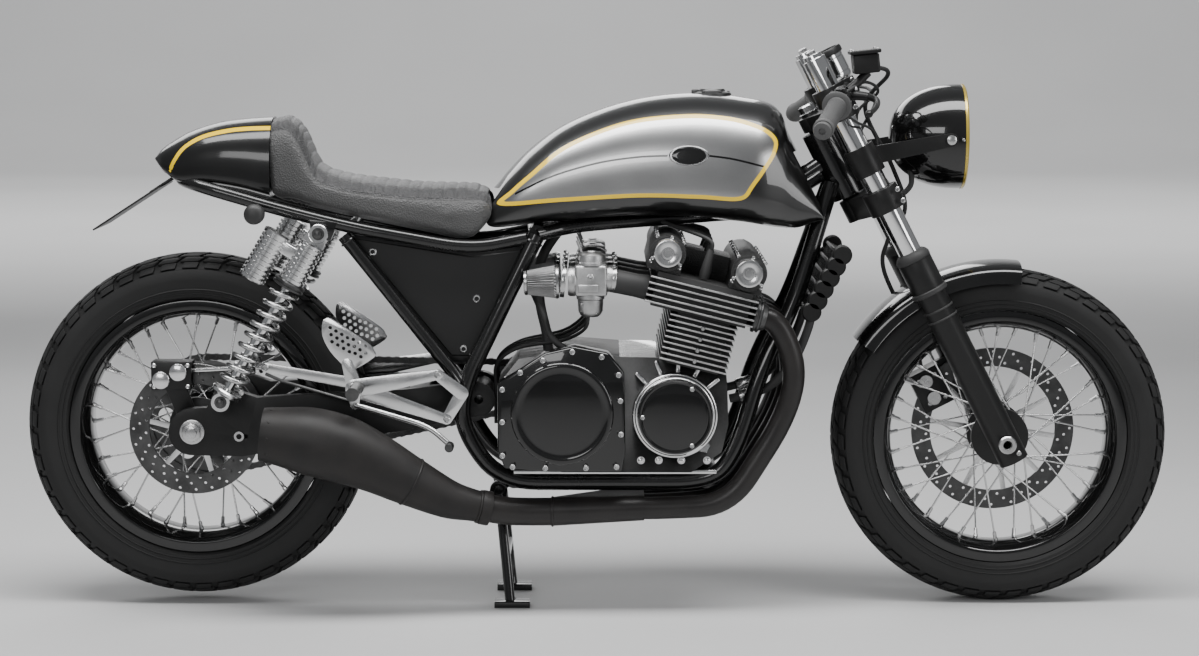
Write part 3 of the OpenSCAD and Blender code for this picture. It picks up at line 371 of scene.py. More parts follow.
tyre_rubber = finish("tyre_rubber", grey(0.008), grey(0.016), (0.58, 0.78), bump=0.3, grain=0.0009, pits=0.5,
                     patch=0.06, Specular_IOR_Level=0.35)
soft_rubber = finish("soft_rubber", grey(0.020), grey(0.032), (0.55, 0.70), bump=0.2, grain=0.0006)
grip_rubber = finish("grip_rubber", grey(0.06), grey(0.10), (0.55, 0.72), bump=0.3, grain=0.0008)
red_glow = finish("red_glow", (0.38, 0.008, 0.006), (0.52, 0.016, 0.010), (0.08, 0.16), bump=0.0, coat=1.0,
                  Transmission_Weight=0.35)
moulded_black = finish("moulded_black", grey(0.016), grey(0.026), (0.40, 0.52), bump=0.2, grain=0.001)
clear_glass = finish("clear_glass", (0.93, 0.92, 0.84), (0.97, 0.96, 0.90), (0.02, 0.05), bump=0.0,
                     Transmission_Weight=0.92, IOR=1.45)
paper = finish("paper", grey(0.52), grey(0.56), (0.7, 0.85), bump=0.0, patch=1.4, speck=0.02)
floor.data.materials.append(paper)
print("finishes", len(bpy.data.materials))

# %% [markdown]
# ## Dressing the castings and tubes
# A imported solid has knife-sharp edges, and real parts never do: a cast or bent edge catches a thin
# line of light. So each plain part gets a working copy whose doubled points are merged, whose flat
# faces are joined, and whose corners are bevelled by less than a millimetre. The copy stands in for
# its solid, keeps its place, and carries the finish.


# %% Working copy with softened corners
def flat_joined(node):
    bm = bmesh.new()
    bm.from_mesh(nodes[node].data)
    bmesh.ops.scale(bm, vec=(1000, 1000, 1000), verts=bm.verts)
    bmesh.ops.remove_doubles(bm, verts=bm.verts, dist=2e-3)
    bmesh.ops.dissolve_limit(bm, angle_limit=math.radians(0.5), verts=bm.verts, edges=bm.edges)
    return bm


def soften(bm, width, angle=32.0):
    sharp = [e for e in bm.edges if len(e.link_faces) == 2 and e.calc_face_angle(0.0) > math.radians(angle)]
    bmesh.ops.bevel(bm, geom=sharp, offset=width, offset_type="OFFSET", segments=2, profile=0.5,
                    affect="EDGES", material=-1, clamp_overlap=True)


def dress(node, material, width):
    bm = flat_joined(node)
    if width:
        soften(bm, width)
    bmesh.ops.triangulate(bm, faces=[f for f in bm.faces if len(f.verts) > 4])
    return stand_in(node + "_dressed", bm, node, [material], 38)


# %% Smooth curves through a short table of sizes
def smooth_value(table, x):
    """The value at x of a smooth curve through [x, value] rows."""
    i = 0
    while i < len(table) - 2 and x > table[i + 1][0]:
        i += 1
    span = table[i + 1][0] - table[i][0]
    t = min(max((x - table[i][0]) / span, 0.0), 1.0)

    def slope(k):
        low, high = max(k - 1, 0), min(k + 1, len(table) - 1)
        return (table[high][1] - table[low][1]) / (table[high][0] - table[low][0]) * span

    a, b = table[i][1], table[i + 1][1]
    return (a * (1 + 2 * t) * (1 - t) ** 2 + slope(i) * t * (1 - t) ** 2
            + b * t * t * (3 - 2 * t) + slope(i + 1) * t * t * (t - 1))


def power(value, p):
    return math.copysign(abs(value) ** p, value)


def shell(tables, stations, sides, waist, upper, lower, shrink=0.0):
    """Closed body shell: one ring at each station, taken from tables of top, bottom and half width."""
    top_table, low_table, width_table = tables
    bm = bmesh.new()
    rings = []
    for x in stations:
        top = smooth_value(top_table, x) - shrink
        low = smooth_value(low_table, x) + shrink
        half = smooth_value(width_table, x) - shrink
        middle = low + waist * (top - low)
        ring = bmesh.ops.create_circle(bm, cap_ends=False, segments=sides, radius=1.0)["verts"]
        for v in ring:
            across, up = v.co.x, v.co.y
            wide, tall = upper if up > 0 else lower
            v.co = Vector((x, half * power(across, wide),
                           middle + (top - middle if up > 0 else middle - low) * power(up, tall)))
        rings.append(ring)
    join_rings(bm, rings)
    return bm


def stations(low, high, step):
    count = max(2, round((high - low) / step))
    return [low + (high - low) * k / count for k in range(count + 1)]


def distance_to_path(x, z, path):
    best = 1e9
    for (ax, az), (bx, bz) in zip(path, path[1:]):
        dx, dz = bx - ax, bz - az
        t = min(max(((x - ax) * dx + (z - az) * dz) / (dx * dx + dz * dz), 0.0), 1.0)
        best = min(best, math.hypot(x - ax - t * dx, z - az - t * dz))
    return best


def inside(x, z, outline):
    hit = False
    for (ax, az), (bx, bz) in zip(outline, outline[1:] + outline[:1]):
        if (az > z) != (bz > z) and x < (bx - ax) * (z - az) / (bz - az) + ax:
            hit = not hit
    return hit


def smooth_path(points, steps=8, closed=False):
    """A rounder path through the same points."""
    count = len(points)
    result = []
    for i in range(count if closed else count - 1):
        def at(k):
            return points[k % count] if closed else points[min(max(k, 0), count - 1)]
        p0, p1, p2, p3 = at(i - 1), at(i), at(i + 1), at(i + 2)
        for s in range(steps):
            t = s / steps
            result.append(tuple(
                0.5 * (2 * b + (c - a) * t + (2 * a - 5 * b + 4 * c - d) * t * t + (3 * b - a - 3 * c + d) * t ** 3)
                for a, b, c, d in zip(p0, p1, p2, p3)))
    return result + ([] if closed else [tuple(points[-1])])


def apply_modifiers(obj):
    """Makes what the modifiers show the piece's own mesh."""
    mesh = bpy.data.meshes.new_from_object(obj.evaluated_get(bpy.context.evaluated_depsgraph_get()))
    obj.modifiers.clear()
    obj.data = mesh
    return mesh


def cut(obj, cutter_bm):
    """Takes the cutter's shape out of a piece and applies the result."""
    outward(cutter_bm)
    bmesh.ops.scale(cutter_bm, vec=(MM, MM, MM), verts=cutter_bm.verts)
    cutter = link(bpy.data.objects.new("cutter", mesh_of("cutter", cutter_bm)))
    mod = obj.modifiers.new("cut", "BOOLEAN")
    mod.operation = "DIFFERENCE"
    mod.solver = "EXACT"
    mod.object = cutter
    old = obj.data
    apply_modifiers(obj)
    bpy.data.meshes.remove(old)
    bpy.data.objects.remove(cutter)


def float_attribute(obj, name, value_at):
    layer = obj.data.attributes.new(name, "FLOAT", "POINT")
    layer.data.foreach_set("value", [value_at(v.co / MM) for v in obj.data.vertices])


# %% [markdown]
# ## Fuel tank
# A pressed steel tank is one flowing surface, so it is skinned from rings whose height and width
# follow smooth curves, closely enough spaced to look drawn. The silver side panel and its yellow
# pinstripe are paint, not shape: each point stores how far it lies inside the panel's outline, and
# the finish reads that distance, so the stripe keeps one width all the way round.

# %% Tank shape
YELLOW = (0.94, 0.62, 0.0, 1)
FAR = 60.0
TANK_TOP = [[-205, 742], [-183, 760], [-161, 787], [-123, 825], [-68, 865], [4, 897], [76, 917], [148, 926],
            [206, 926], [257, 920], [311, 908], [332, 890], [342, 862], [372, 800], [398, 740], [404, 716]]
TANK_LOW = [[-205, 680], [-67, 697.4], [110, 708], [252, 698], [351, 684], [404, 700]]
TANK_WIDE = [[-205, 66], [-160, 92], [-100, 106], [0, 122], [110, 134], [200, 138], [280, 132], [340, 108], [404, 82]]
PANEL = [(-176, 729), (-152, 758), (-119, 787), (-66, 831), (4, 864), (74, 884), (162, 892), (220, 889), (262, 881),
         (300, 866), (320, 846), (316, 822), (300, 796), (278, 766), (254, 741), (180, 744), (74, 746), (-66, 737)]
LINE_REAR = [(-150, 748), (-80, 782), (0, 806), (70, 817), (128, 820)]
LINE_FRONT = [(196, 820), (240, 814), (296, 800)]
panel_outline = smooth_path(PANEL, 6, closed=True)
line_rear, line_front = smooth_path(LINE_REAR), smooth_path(LINE_FRONT)


def panel_depth(p):
    if abs(p.y) < 30:
        return -FAR
    far = distance_to_path(p.x, p.z, panel_outline + panel_outline[:1])
    return far if inside(p.x, p.z, panel_outline) else -far


def line_gap(p):
    """Distance to the dark line: below it is negative, so that the line stays thin and unbroken."""
    table, path = (LINE_REAR, line_rear) if p.x < 162 else (LINE_FRONT, line_front)
    far = distance_to_path(p.x, p.z, path) if table[0][0] < p.x < table[-1][0] and abs(p.y) > 30 else FAR
    return math.copysign(far, p.z - smooth_value(table, p.x))


def tank_paint():
    """Gloss black outside the panel, a yellow edge on its outline and brushed silver inside."""
    mat = finish("tank_paint", grey(0.30), grey(0.46), (0.26, 0.34), metallic=0.0, bump=0.02, grain=0.0015,
                 coat=1.0, coat_rough=0.03, patch=0.3, speck=0.0012)
    tree = mat.node_tree

    def painted(tree, silver):
        line = put(tree, "Math", [(k, mask(tree, "line_gap", s * 1.9, s * 1.5)) for k, s in enumerate((1, -1))],
                   operation="MULTIPLY").outputs[0]
        lined = over(tree, line, silver, (*grey(0.012), 1))
        edged = over(tree, mask(tree, "panel_depth", 7.4, 7.0), lined, YELLOW)
        return over(tree, mask(tree, "panel_depth", 0.2, -0.2), edged, (*grey(0.004), 1))

    tree.links.new(mask(tree, "panel_depth", 7.0, 7.4), tree.nodes["Principled BSDF"].inputs["Metallic"])
    return repaint(mat, painted)


TANK_TABLES = (TANK_TOP, TANK_LOW, TANK_WIDE)
TANK_WAIST = 0.36
TANK_CURVES = ((0.86, 0.9), (0.5, 0.5))
tank_bm = shell(TANK_TABLES, stations(-205, 404, 4.5), 132, TANK_WAIST, *TANK_CURVES)
tank = piece("tank_shell", tank_bm, "root", [tank_paint()], None, ("fuel_tank",))


def box_cutter(bm, low, high):
    made = bmesh.ops.create_cube(bm, size=1.0)["verts"]
    low, high = Vector(low), Vector(high)
    for v in made:
        v.co = Vector([(low[k] + high[k]) / 2 + v.co[k] * (high[k] - low[k]) for k in range(3)])
    return made


def rounded_box(low, high, width, bm=None):
    """Box with rounded edges, in a bmesh of its own unless one is given."""
    bm = bm or bmesh.new()
    made = box_cutter(bm, low, high)
    edges = list({e for v in made for e in v.link_edges})
    bmesh.ops.bevel(bm, geom=edges, offset=width, offset_type="OFFSET", segments=3, profile=0.5,
                    affect="EDGES", material=-1, clamp_overlap=True)
    return bm


tunnel = bmesh.new()
for v in box_cutter(tunnel, (-300, -70, 600), (420, 70, 742)):
    if v.co.x > 0 and v.co.z > 700:
        v.co.z += 90
cut(tank, tunnel)
shade(tank.data, 50)
float_attribute(tank, "panel_depth", panel_depth)
float_attribute(tank, "line_gap", line_gap)
print("tank points", len(tank.data.vertices))

# %% [markdown]
# ## Tail cowl
# The tail is a moulded shell in the same gloss black, with one yellow line that leaves the seat
# and curls down beside the lamp. It is skinned and painted in the same way as the tank.

# %% Tail
TAIL_TOP = [[-796, 812], [-785, 826], [-769, 838], [-733, 858], [-682, 874], [-631, 881], [-583.4, 884]]
TAIL_LOW = [[-796, 808], [-785, 794], [-770, 780], [-750, 768], [-700, 766], [-640, 757], [-583.4, 742]]
TAIL_WIDE = [[-796, 30], [-780, 54], [-740, 76], [-680, 90], [-620, 98], [-583.4, 100]]
TAIL_LINE = [(-764, 790), (-757, 806), (-738, 831), (-705, 850), (-660, 861), (-620, 865), (-583, 866)]
tail_line = smooth_path(TAIL_LINE)


def tail_paint():
    mat = finish("tail_paint", grey(0.004), grey(0.008), (0.26, 0.34), bump=0.03, grain=0.002, coat=0.7,
                 coat_rough=0.10,
                 Specular_IOR_Level=0.2)
    return repaint(mat, lambda tree, black: over(tree, mask(tree, "tail_line", 3.6, 3.2), black, YELLOW))


tail_bm = shell((TAIL_TOP, TAIL_LOW, TAIL_WIDE), stations(-796, -583.4, 4), 112, 0.3, (0.8, 0.8), (0.35, 0.35))
tail = piece("tail_shell", tail_bm, "root", [tail_paint()], 40, ("tail_cowl",))
float_attribute(tail, "tail_line", lambda p: distance_to_path(p.x, p.z, tail_line) if abs(p.y) > 12 else FAR)
print("tail points", len(tail.data.vertices))

# %% [markdown]
# ## Tyres
# A tyre is a turned carcass with tread blocks standing on it. The carcass is one spun profile. The
# blocks of a single pitch are small bevelled cubes, bent onto the crown, and spinning copies of that
# pitch round the axle gives the whole tread without any seam.

# %% Tyre with tread
FRONT_AXLE = joint_at["front_wheel_spin"] / MM
REAR_AXLE = joint_at["rear_wheel_spin"] / MM
RIM_R = 230


def crown(angle, r, w):
    """Point (radius, across) on the tyre's outside; angle 0 is the middle of the tread."""
    a = math.radians(angle)
    wide = RIM_R + 0.42 * (r - RIM_R)
    return Vector((wide + (r - wide) * max(math.cos(a), 0.0) ** 0.8, w / 2 * power(math.sin(a), 0.95), 0))


def crown_in(angle, r, w, depth):
    """The same point, sunk below the outside."""
    ahead, behind = crown(angle + 1.5, r, w), crown(angle - 1.5, r, w)
    along = (ahead - behind).normalized()
    return crown(angle, r, w) - Vector((along.y, -along.x, 0)) * depth


def tread_block(start, end, low, high, skew, r, w, depth):
    """One bevelled block, bent from a cube onto the crown between two turns and two crown angles."""
    bm = bmesh.new()
    bmesh.ops.create_cube(bm, size=1.0)
    top = [e for e in bm.edges if any(v.co.z > 0 for v in e.verts)]
    bmesh.ops.bevel(bm, geom=top, offset=0.07, offset_type="OFFSET", segments=1, profile=0.5, affect="EDGES",
                    material=-1)
    bmesh.ops.subdivide_edges(bm, edges=[e for e in bm.edges if abs(e.verts[0].co.z - e.verts[1].co.z) < 0.01
                                         and e.calc_length() > 0.5], cuts=2, use_grid_fill=True)
    for v in bm.verts:
        a = low + (high - low) * (v.co.y + 0.5)
        turn = math.radians(start + (end - start) * (v.co.x + 0.5) + skew * abs(a) / 60)
        p = crown_in(a, r, w, depth * (0.5 - v.co.z))
        v.co = Vector((p.x * math.cos(turn), p.y, p.x * math.sin(turn)))
    return bm


def tyre(name, axle, r, w, pitches, rows, body, replaced):
    depth = 4.6
    profile = [(RIM_R + 1.2, -w * 0.39), (RIM_R + 6, -w * 0.45)]
    for k in range(45):
        a = -88 + k * 4
        step = 0.0 if abs(a) > 64 else depth
        p = crown_in(a, r, w, step)
        profile.append((p.x, p.y))
    profile += [(RIM_R + 6, w * 0.45), (RIM_R + 1.2, w * 0.39)]
    bm = lathe(profile, 120)
    bmesh.ops.rotate(bm, cent=(0, 0, 0), matrix=Matrix.Rotation(math.radians(-90), 3, "X"), verts=bm.verts)
    pitch = 360 / pitches
    one = bmesh.new()
    for low, high, begin, length, skew in rows:
        for s in (1, -1):
            if s < 0 and low < 0:
                continue
            shift = begin + (0.5 if s < 0 else 0)
            add(one, tread_block(pitch * shift, pitch * (shift + length), s * low, s * high, skew, r, w, depth))
    bmesh.ops.spin(one, geom=one.verts[:] + one.edges[:] + one.faces[:], cent=(0, 0, 0), axis=(0, 1, 0),
                   angle=math.radians(360 - pitch), steps=pitches - 1, use_duplicate=True)
    add(bm, one)
    for side in (-1, 1):
        for ring_r, up in ((RIM_R + 12, 0.462), (RIM_R + 20, 0.478)):
            ring = lathe([(ring_r - 1.6, 0), (ring_r, 1.2), (ring_r + 1.6, 0)], 96)
            add(bm, ring, Matrix.Translation((0, side * w * up, 0)) @ Matrix.Rotation(math.radians(-90 * side), 4,
                "X"))
    outward(bm)
    bmesh.ops.translate(bm, vec=axle, verts=bm.verts)
    return piece(name, bm, body, [tyre_rubber], 32, (replaced,))


FRONT_ROWS = [(3, 22, 0.0, 0.86, 6), (25, 42, 0.3, 0.80, 9), (45, 62, 0.05, 0.66, 3)]
REAR_ROWS = [(-9, 9, 0.1, 0.84, 0), (12, 27, 0.45, 0.84, 8), (30, 45, 0.1, 0.80, 8), (48, 63, 0.5, 0.66, 3)]
front_tyre = tyre("front_tyre_treaded", FRONT_AXLE, 305, 118, 46, FRONT_ROWS, "front_wheel", "front_tyre")
rear_tyre = tyre("rear_tyre_treaded", REAR_AXLE, 312, 138, 46, REAR_ROWS, "rear_wheel", "rear_tyre")
print("tyre faces", len(front_tyre.data.polygons), len(rear_tyre.data.polygons))

# %% [markdown]
# ## Spoked wheels
# The black rims and steel spokes keep their shape. Each spoke ends in a threaded nipple at the rim,
# and each wheel has a valve, which is what a mechanic would look for first.

# %% Nipples and valves
SPOKES = 36


def wheel_trim(name, axle, flange_y, rim_y, body):
    bm = bmesh.new()
    for k in range(SPOKES):
        side = 1 if k % 2 == 0 else -1
        lean = 1 if (k // 2) % 2 == 0 else -1
        a = math.radians(k * 360 / SPOKES)
        b = a + math.radians(lean * 52)
        start = Vector((44 * math.cos(b), side * flange_y + lean * 3.4, 44 * math.sin(b)))
        end = Vector((200 * math.cos(a), side * rim_y, 200 * math.sin(a)))
        way = (end - start).normalized()
        nipple = lathe([(0, -17), (2.9, -17), (3.4, -15), (3.4, -6), (4.4, -4), (4.4, 0), (0, 0)], 8)
        add(bm, nipple, placed(axle + end - way * 3, way))
        add(bm, lathe([(0, 1), (3.6, 0.6), (3.9, -1.5), (0, -2)], 8),
            placed(axle + start + Vector((0, side * lean * 1.6, 0)), (0, side, 0)))
    valve = lathe([(0, -34), (3.4, -34), (3.4, -22), (2.6, -21), (2.6, -4), (5.5, -3), (5.5, 0), (0, 0)], 12)
    a = math.radians(148)
    out = Vector((math.cos(a), 0, math.sin(a)))
    add(bm, valve, placed(axle + out * 197, out))
    return piece(name, bm, body, [bright_steel], 40)


wheel_trim("front_nipples", FRONT_AXLE, 34, 8, "front_wheel")
wheel_trim("rear_nipples", REAR_AXLE, 40, 10, "rear_wheel")


# %% [markdown]
# ## Brake discs and chain
# The friction rings are drilled through in three staggered rings of holes. The chain is built as a
# mechanic knows it: pairs of waisted plates joined by rollers, one link at a time round both sprockets.

# %% Drilled discs
DISC_THICK = 5.0
DRILL_ROWS = 3
DRILL_STEPS = 48


def drilled_disc(node, axle, y, r, ring_w, body):
    """Polished carrier from the solid, and a darker braking ring that wraps its edge; both are drilled."""
    bm = flat_joined(node)
    soften(bm, 0.3)
    bmesh.ops.triangulate(bm, faces=[f for f in bm.faces if len(f.verts) > 4])
    carrier = piece(node + "_drilled", bm, body, [polished_alloy], 40, (node,))
    low, high, half = r - ring_w - 0.3, r + 0.2, DISC_THICK / 2 + 0.2
    band = lathe([(low, half - 0.5), (low + 0.5, half), (high - 0.5, half), (high, half - 0.5), (high, 0.5 - half),
                  (high - 0.5, -half),
                  (low + 0.5, -half), (low, 0.5 - half), (low, half - 0.5)], 120)
    move(band, placed(axle + Vector((0, y, 0)), (0, 1, 0)))
    ring_piece = piece(node + "_ring", band, body, [disc_grey], 40)
    for obj in (carrier, ring_piece):
        cutter = bmesh.new()
        for k in range(DRILL_STEPS):
            for ring in range(DRILL_ROWS):
                a = math.radians((k + ring / DRILL_ROWS) * 360 / DRILL_STEPS)
                at = r - 7 - ring * (ring_w - 14) / 2
                if (k + ring) % 2 == 0:
                    hole = lathe([(0, -12), (2.7, -12), (2.7, 12), (0, 12)], 10)
                    add(cutter, hole, placed(axle + Vector((at * math.cos(a), y, at * math.sin(a))), (0, 1, 0)))
        cut(obj, cutter)
        shade(obj.data, 35)


disc_grey = finish("disc_grey", grey(0.06), grey(0.12), (0.28, 0.4), metallic=1.0, bump=0.2, patch=0.03)
drilled_disc("front_disc", FRONT_AXLE, 66, 150, 34, "front_wheel")
drilled_disc("rear_disc", REAR_AXLE, -82, 118, 36, "rear_wheel")


# %% Chain, link by link
SPROCKET_AT = Vector((-141, 0, 384))
PLATE_HALF = 6
LINK_PITCH = 15.875


def chain_path():
    """The closed loop round both sprockets."""
    front = SPROCKET_AT
    big, small = 104 + PLATE_HALF, 36 + PLATE_HALF
    d = Vector((front.x - REAR_AXLE.x, 0, front.z - REAR_AXLE.z))
    tilt, wrap = math.atan2(d.z, d.x), math.acos((big - small) / d.length)

    def on(centre, r, a):
        return Vector((centre.x + r * math.cos(a), 84, centre.z + r * math.sin(a)))
    points = [on(REAR_AXLE, big, tilt + wrap + k * (2 * math.pi - 2 * wrap) / 60) for k in range(61)]
    points += [on(front, small, tilt - wrap + k * 2 * wrap / 24) for k in range(25)]
    return points + points[:1]


def spaced(points, step):
    """Points at equal distances along a path."""
    total = sum((b - a).length for a, b in zip(points, points[1:]))
    count = 2 * round(total / step / 2)
    step, result, need = total / count, [], 0.0
    for a, b in zip(points, points[1:]):
        run, done = (b - a).length, 0.0
        while need <= run - done and len(result) < count:
            done += need
            result.append(a.lerp(b, done / run if run else 0))
            need = step
        need -= run - done
    return result


def link_plate(length, half, thick):
    """Waisted side plate: two round eyes and a narrower middle."""
    bm = bmesh.new()
    ring = bmesh.ops.create_circle(bm, cap_ends=True, segments=16, radius=half)["verts"]
    for v in ring:
        v.co.x += math.copysign(length / 2, v.co.x) if abs(v.co.x) > 0.5 else 0
        if abs(v.co.x) < 0.5:
            v.co.y *= 0.72
    made = bmesh.ops.extrude_face_region(bm, geom=bm.faces[:])["geom"]
    bmesh.ops.translate(bm, vec=(0, 0, thick), verts=verts_of(made))
    outward(bm)
    return bm


def chain():
    bm = bmesh.new()
    pins = spaced(chain_path(), LINK_PITCH)
    for i, p in enumerate(pins):
        q = pins[(i + 1) % len(pins)]
        way = (q - p).normalized()
        turn = math.degrees(math.atan2(way.z, way.x))
        half_gap = 5.3 if i % 2 else 3.6
        for s in (-1, 1):
            plate = link_plate((q - p).length, 6.6, 1.5)
            middle = (p + q) / 2 + Vector((0, s * half_gap, 0))
            where = (Matrix.Translation(middle) @ Matrix.Rotation(math.radians(-turn), 4, "Y")
                     @ Matrix.Rotation(math.radians(90), 4, "X") @ Matrix.Translation((0, 0, -0.75)))
            add(bm, plate, where)
        add(bm, lathe([(0, -7.2), (2.4, -7.2), (2.4, -3.2), (4.6, -3.2), (4.6, 3.2), (2.4, 3.2), (2.4, 7.2),
                       (0, 7.2)], 10),
            placed(p, (0, 1, 0)))
    return piece("chain_links", bm, "root", [dark_steel], 40, ("drive_chain",))


print("chain faces", len(chain().data.polygons))

# %% [markdown]
# ## Seat
# The seat is a foam pad under grey leather, with a smooth skirt and a top that is sewn into cross rolls. Leather over
# foam swells between its seams, and a short cloth simulation under pressure gives that swelling. The seams come after
# it: the stitched edge and the rolls are pressed into the swollen mesh, and thread is laid along the stitched edge.

# %% Seat shape
SEAT_TOP = [[-583, 884], [-560, 889], [-545, 887], [-531, 868], [-521, 838], [-511, 812], [-498, 795], [-470, 784],
            [-430, 776], [-379, 770], [-328, 765], [-260, 763], [-215, 763], [-196, 756], [-188, 738]]
SEAT_LOW = [[-583, 744], [-500, 724], [-421, 706], [-300, 681], [-232, 668], [-215, 672], [-200, 690], [-188, 712]]
SEAT_WIDE = [[-583, 96], [-540, 101], [-480, 110], [-380, 112], [-260, 108], [-205, 98], [-188, 84]]
SEAT_STATIONS = ([-583 + k * 5 for k in range(8)] + [-545 + k * 3.4 for k in range(14)]
                 + [-496 + k * 5 for k in range(60)] + [-194, -191, -188])
PAD_SWELL = 5.0
SWELL_FRAMES = 20


def seat_leather_finish():
    """Pebbled leather: small closed cells in relief, and a top that is darker than the skirt."""
    mat = finish("seat_leather", grey(0.040), grey(0.066), (0.40, 0.54), bump=0.45, grain=0.0028, pits=1.0,
                 patch=0.09, speck=0.004, Sheen_Weight=0.15)
    dark = (0.020, 0.020, 0.021, 1)
    return repaint(mat, lambda tree, grey_skirt: over(
        tree, put(tree, "Attribute", attribute_name="skirt").outputs["Fac"], dark, grey_skirt))


def swell(obj):
    """Blows the pad up under its leather, never further than PAD_SWELL."""
    remesh = obj.modifiers.new("even", "REMESH")
    remesh.mode = "VOXEL"
    remesh.voxel_size = 5.5 * MM
    even = apply_modifiers(obj)
    start = [v.co.copy() for v in even.vertices]
    cloth = obj.modifiers.new("leather", "CLOTH")
    cloth.settings.use_pressure = True
    cloth.settings.uniform_pressure_force = 4.0
    cloth.settings.effector_weights.gravity = 0.0
    cloth.settings.tension_stiffness = 40
    cloth.settings.compression_stiffness = 40
    cloth.settings.quality = 6
    cloth.point_cache.frame_start, cloth.point_cache.frame_end = 1, SWELL_FRAMES
    for step in range(1, SWELL_FRAMES + 1):
        bpy.context.scene.frame_set(step)
    swollen = apply_modifiers(obj)
    for v, home in zip(swollen.vertices, start):
        move = v.co - home
        far = move.length
        if far > PAD_SWELL * MM:
            v.co = home + move * (PAD_SWELL * MM / far)
    bpy.context.scene.frame_set(1)


seat_bm = shell((SEAT_TOP, SEAT_LOW, SEAT_WIDE), SEAT_STATIONS, 88, 0.3, (0.62, 0.62), (0.3, 0.3), shrink=3.2)
seat = piece("seat_pad", seat_bm, "root", [seat_leather_finish()], None, ("seat",))
swell(seat)
tank_space = shell(TANK_TABLES, stations(-205, 0, 6), 96, TANK_WAIST, *TANK_CURVES, shrink=-1.0)
tail_space = bmesh.new()
box_cutter(tail_space, (-700, -160, 600), (-583.2, 160, 1000))
subdivide = seat.modifiers.new("finer", "SUBSURF")
subdivide.levels = subdivide.render_levels = 1
apply_modifiers(seat)
cut(seat, tank_space)
cut(seat, tail_space)
print("seat points", len(seat.data.vertices))


# %% Rolls and the stitched edge
ROLL = 21.0
EDGE_DROP = 24.0
HUMP_FOOT = -500
SEAT_BACK, SEAT_NOSE = -583, -188


def along_top(x):
    """Distance along the seat's top line, measured from the foot of the hump."""
    points = [(p, smooth_value(SEAT_TOP, p)) for p in stations(min(HUMP_FOOT, x), max(HUMP_FOOT, x), 3)]
    total = sum(math.dist(a, b) for a, b in zip(points, points[1:]))
    return total if x > HUMP_FOOT else -total


def on_length(x):
    """x kept between the seat's back and its nose."""
    return min(max(x, SEAT_BACK), SEAT_NOSE)


TOP_LENGTHS = [(x, along_top(x)) for x in stations(SEAT_BACK, SEAT_NOSE, 5)]


def top_length(x):
    for (xa, sa), (xb, sb) in zip(TOP_LENGTHS, TOP_LENGTHS[1:]):
        if x <= xb:
            return sa + (sb - sa) * (x - xa) / (xb - xa)
    return TOP_LENGTHS[-1][1]


def edge_depth(p):
    """How far a point is below the stitched edge: negative on the top, positive on the skirt."""
    if p.x < -512:
        return EDGE_DROP * 0.9 - (smooth_value(SEAT_WIDE, on_length(p.x)) - abs(p.y))
    return smooth_value(SEAT_TOP, on_length(p.x)) - p.z - EDGE_DROP


leather_normals = [v.normal.copy() for v in seat.data.vertices]
for v, n in zip(seat.data.vertices, leather_normals):
    p = v.co / MM
    depth = edge_depth(p)
    if depth < -1.5:
        wave = abs(math.sin(math.pi * top_length(on_length(p.x)) / ROLL))
        groove = (1 - wave) ** 2.2
        fade = min(1.0, (-1.5 - depth) / 8)
        v.co -= n * (2.8 * groove * fade * MM)
    line = math.exp(-(depth / 2.2) ** 2)
    v.co -= n * (1.6 * line * MM)
seat.data.shade_smooth()
float_attribute(seat, "skirt", lambda p: min(1.0, max(0.0, edge_depth(p) / 2 + 0.5)))


def stitches(name, path):
    """Short rounded threads laid end to end along a path."""
    bm, length = bmesh.new(), 3.6
    points = spaced([Vector(p) for p in path], 5.2)
    for a, b in zip(points, points[1:]):
        way = (b - a).normalized()
        thread = lathe([(0, -length / 2), (0.55, -length / 2 + 0.5), (0.7, 0), (0.55, length / 2 - 0.5),
                        (0, length / 2)], 6)
        add(bm, thread, placed((a + b) / 2, way))
    return piece(name, bm, "root", [thread_grey], 60)


def on_seat(x, side):
    """A point of the stitched edge, found on the leather itself."""
    z = smooth_value(SEAT_TOP, x) - EDGE_DROP
    hit, at, normal, face = seat.ray_cast(Vector((x, side * 200, z)) * MM, Vector((0, -side, 0)))
    return at / MM + normal * 0.5 if hit else None


thread_grey = finish("thread_grey", grey(0.16), grey(0.24), (0.6, 0.75), bump=0.3, grain=0.0004)
for side, label in ((-1, "right"), (1, "left")):
    edge_path = [p for p in (on_seat(x, side) for x in stations(-505, -214, 4)) if p]
    stitches("seat_stitches_" + label, edge_path)

# %% [markdown]
# ## Engine
# The engine is what the open frame shows off. Its barrels are cast with deep fins that were painted
# black and then faced off, so the rim of each fin is bare metal. The black covers are screwed down
# with bright cap screws, and the cam ends are closed by turned caps.

# %% Fins with bare edges
BARREL = Matrix.Translation((168, 0, 445)) @ Matrix.Rotation(math.radians(14), 4, "Y")
BARREL_BACK = BARREL.inverted()


def finned(node, x0, x1, half_w):
    bm = flat_joined(node)
    soften(bm, 0.5)
    for f in bm.faces:
        c = BARREL_BACK @ f.calc_center_median()
        rim = abs(c.y) > half_w - 1.2 or c.x < x0 + 1.2 or c.x > x1 - 1.2
        f.material_index = 1 if rim else 0
    return stand_in(node + "_finned", bm, node, [fin_black, bare_edge], 38)


bare_edge = finish("bare_edge", grey(0.34), grey(0.50), (0.3, 0.45), metallic=1.0, bump=0.3, grain=0.0008, patch=0.02)
finned("cylinders", -62, 60, 180)
finned("cylinder_head", -112, 84, 184)


def barrel_point(x, y, s):
    return BARREL @ Vector((x, y, s))


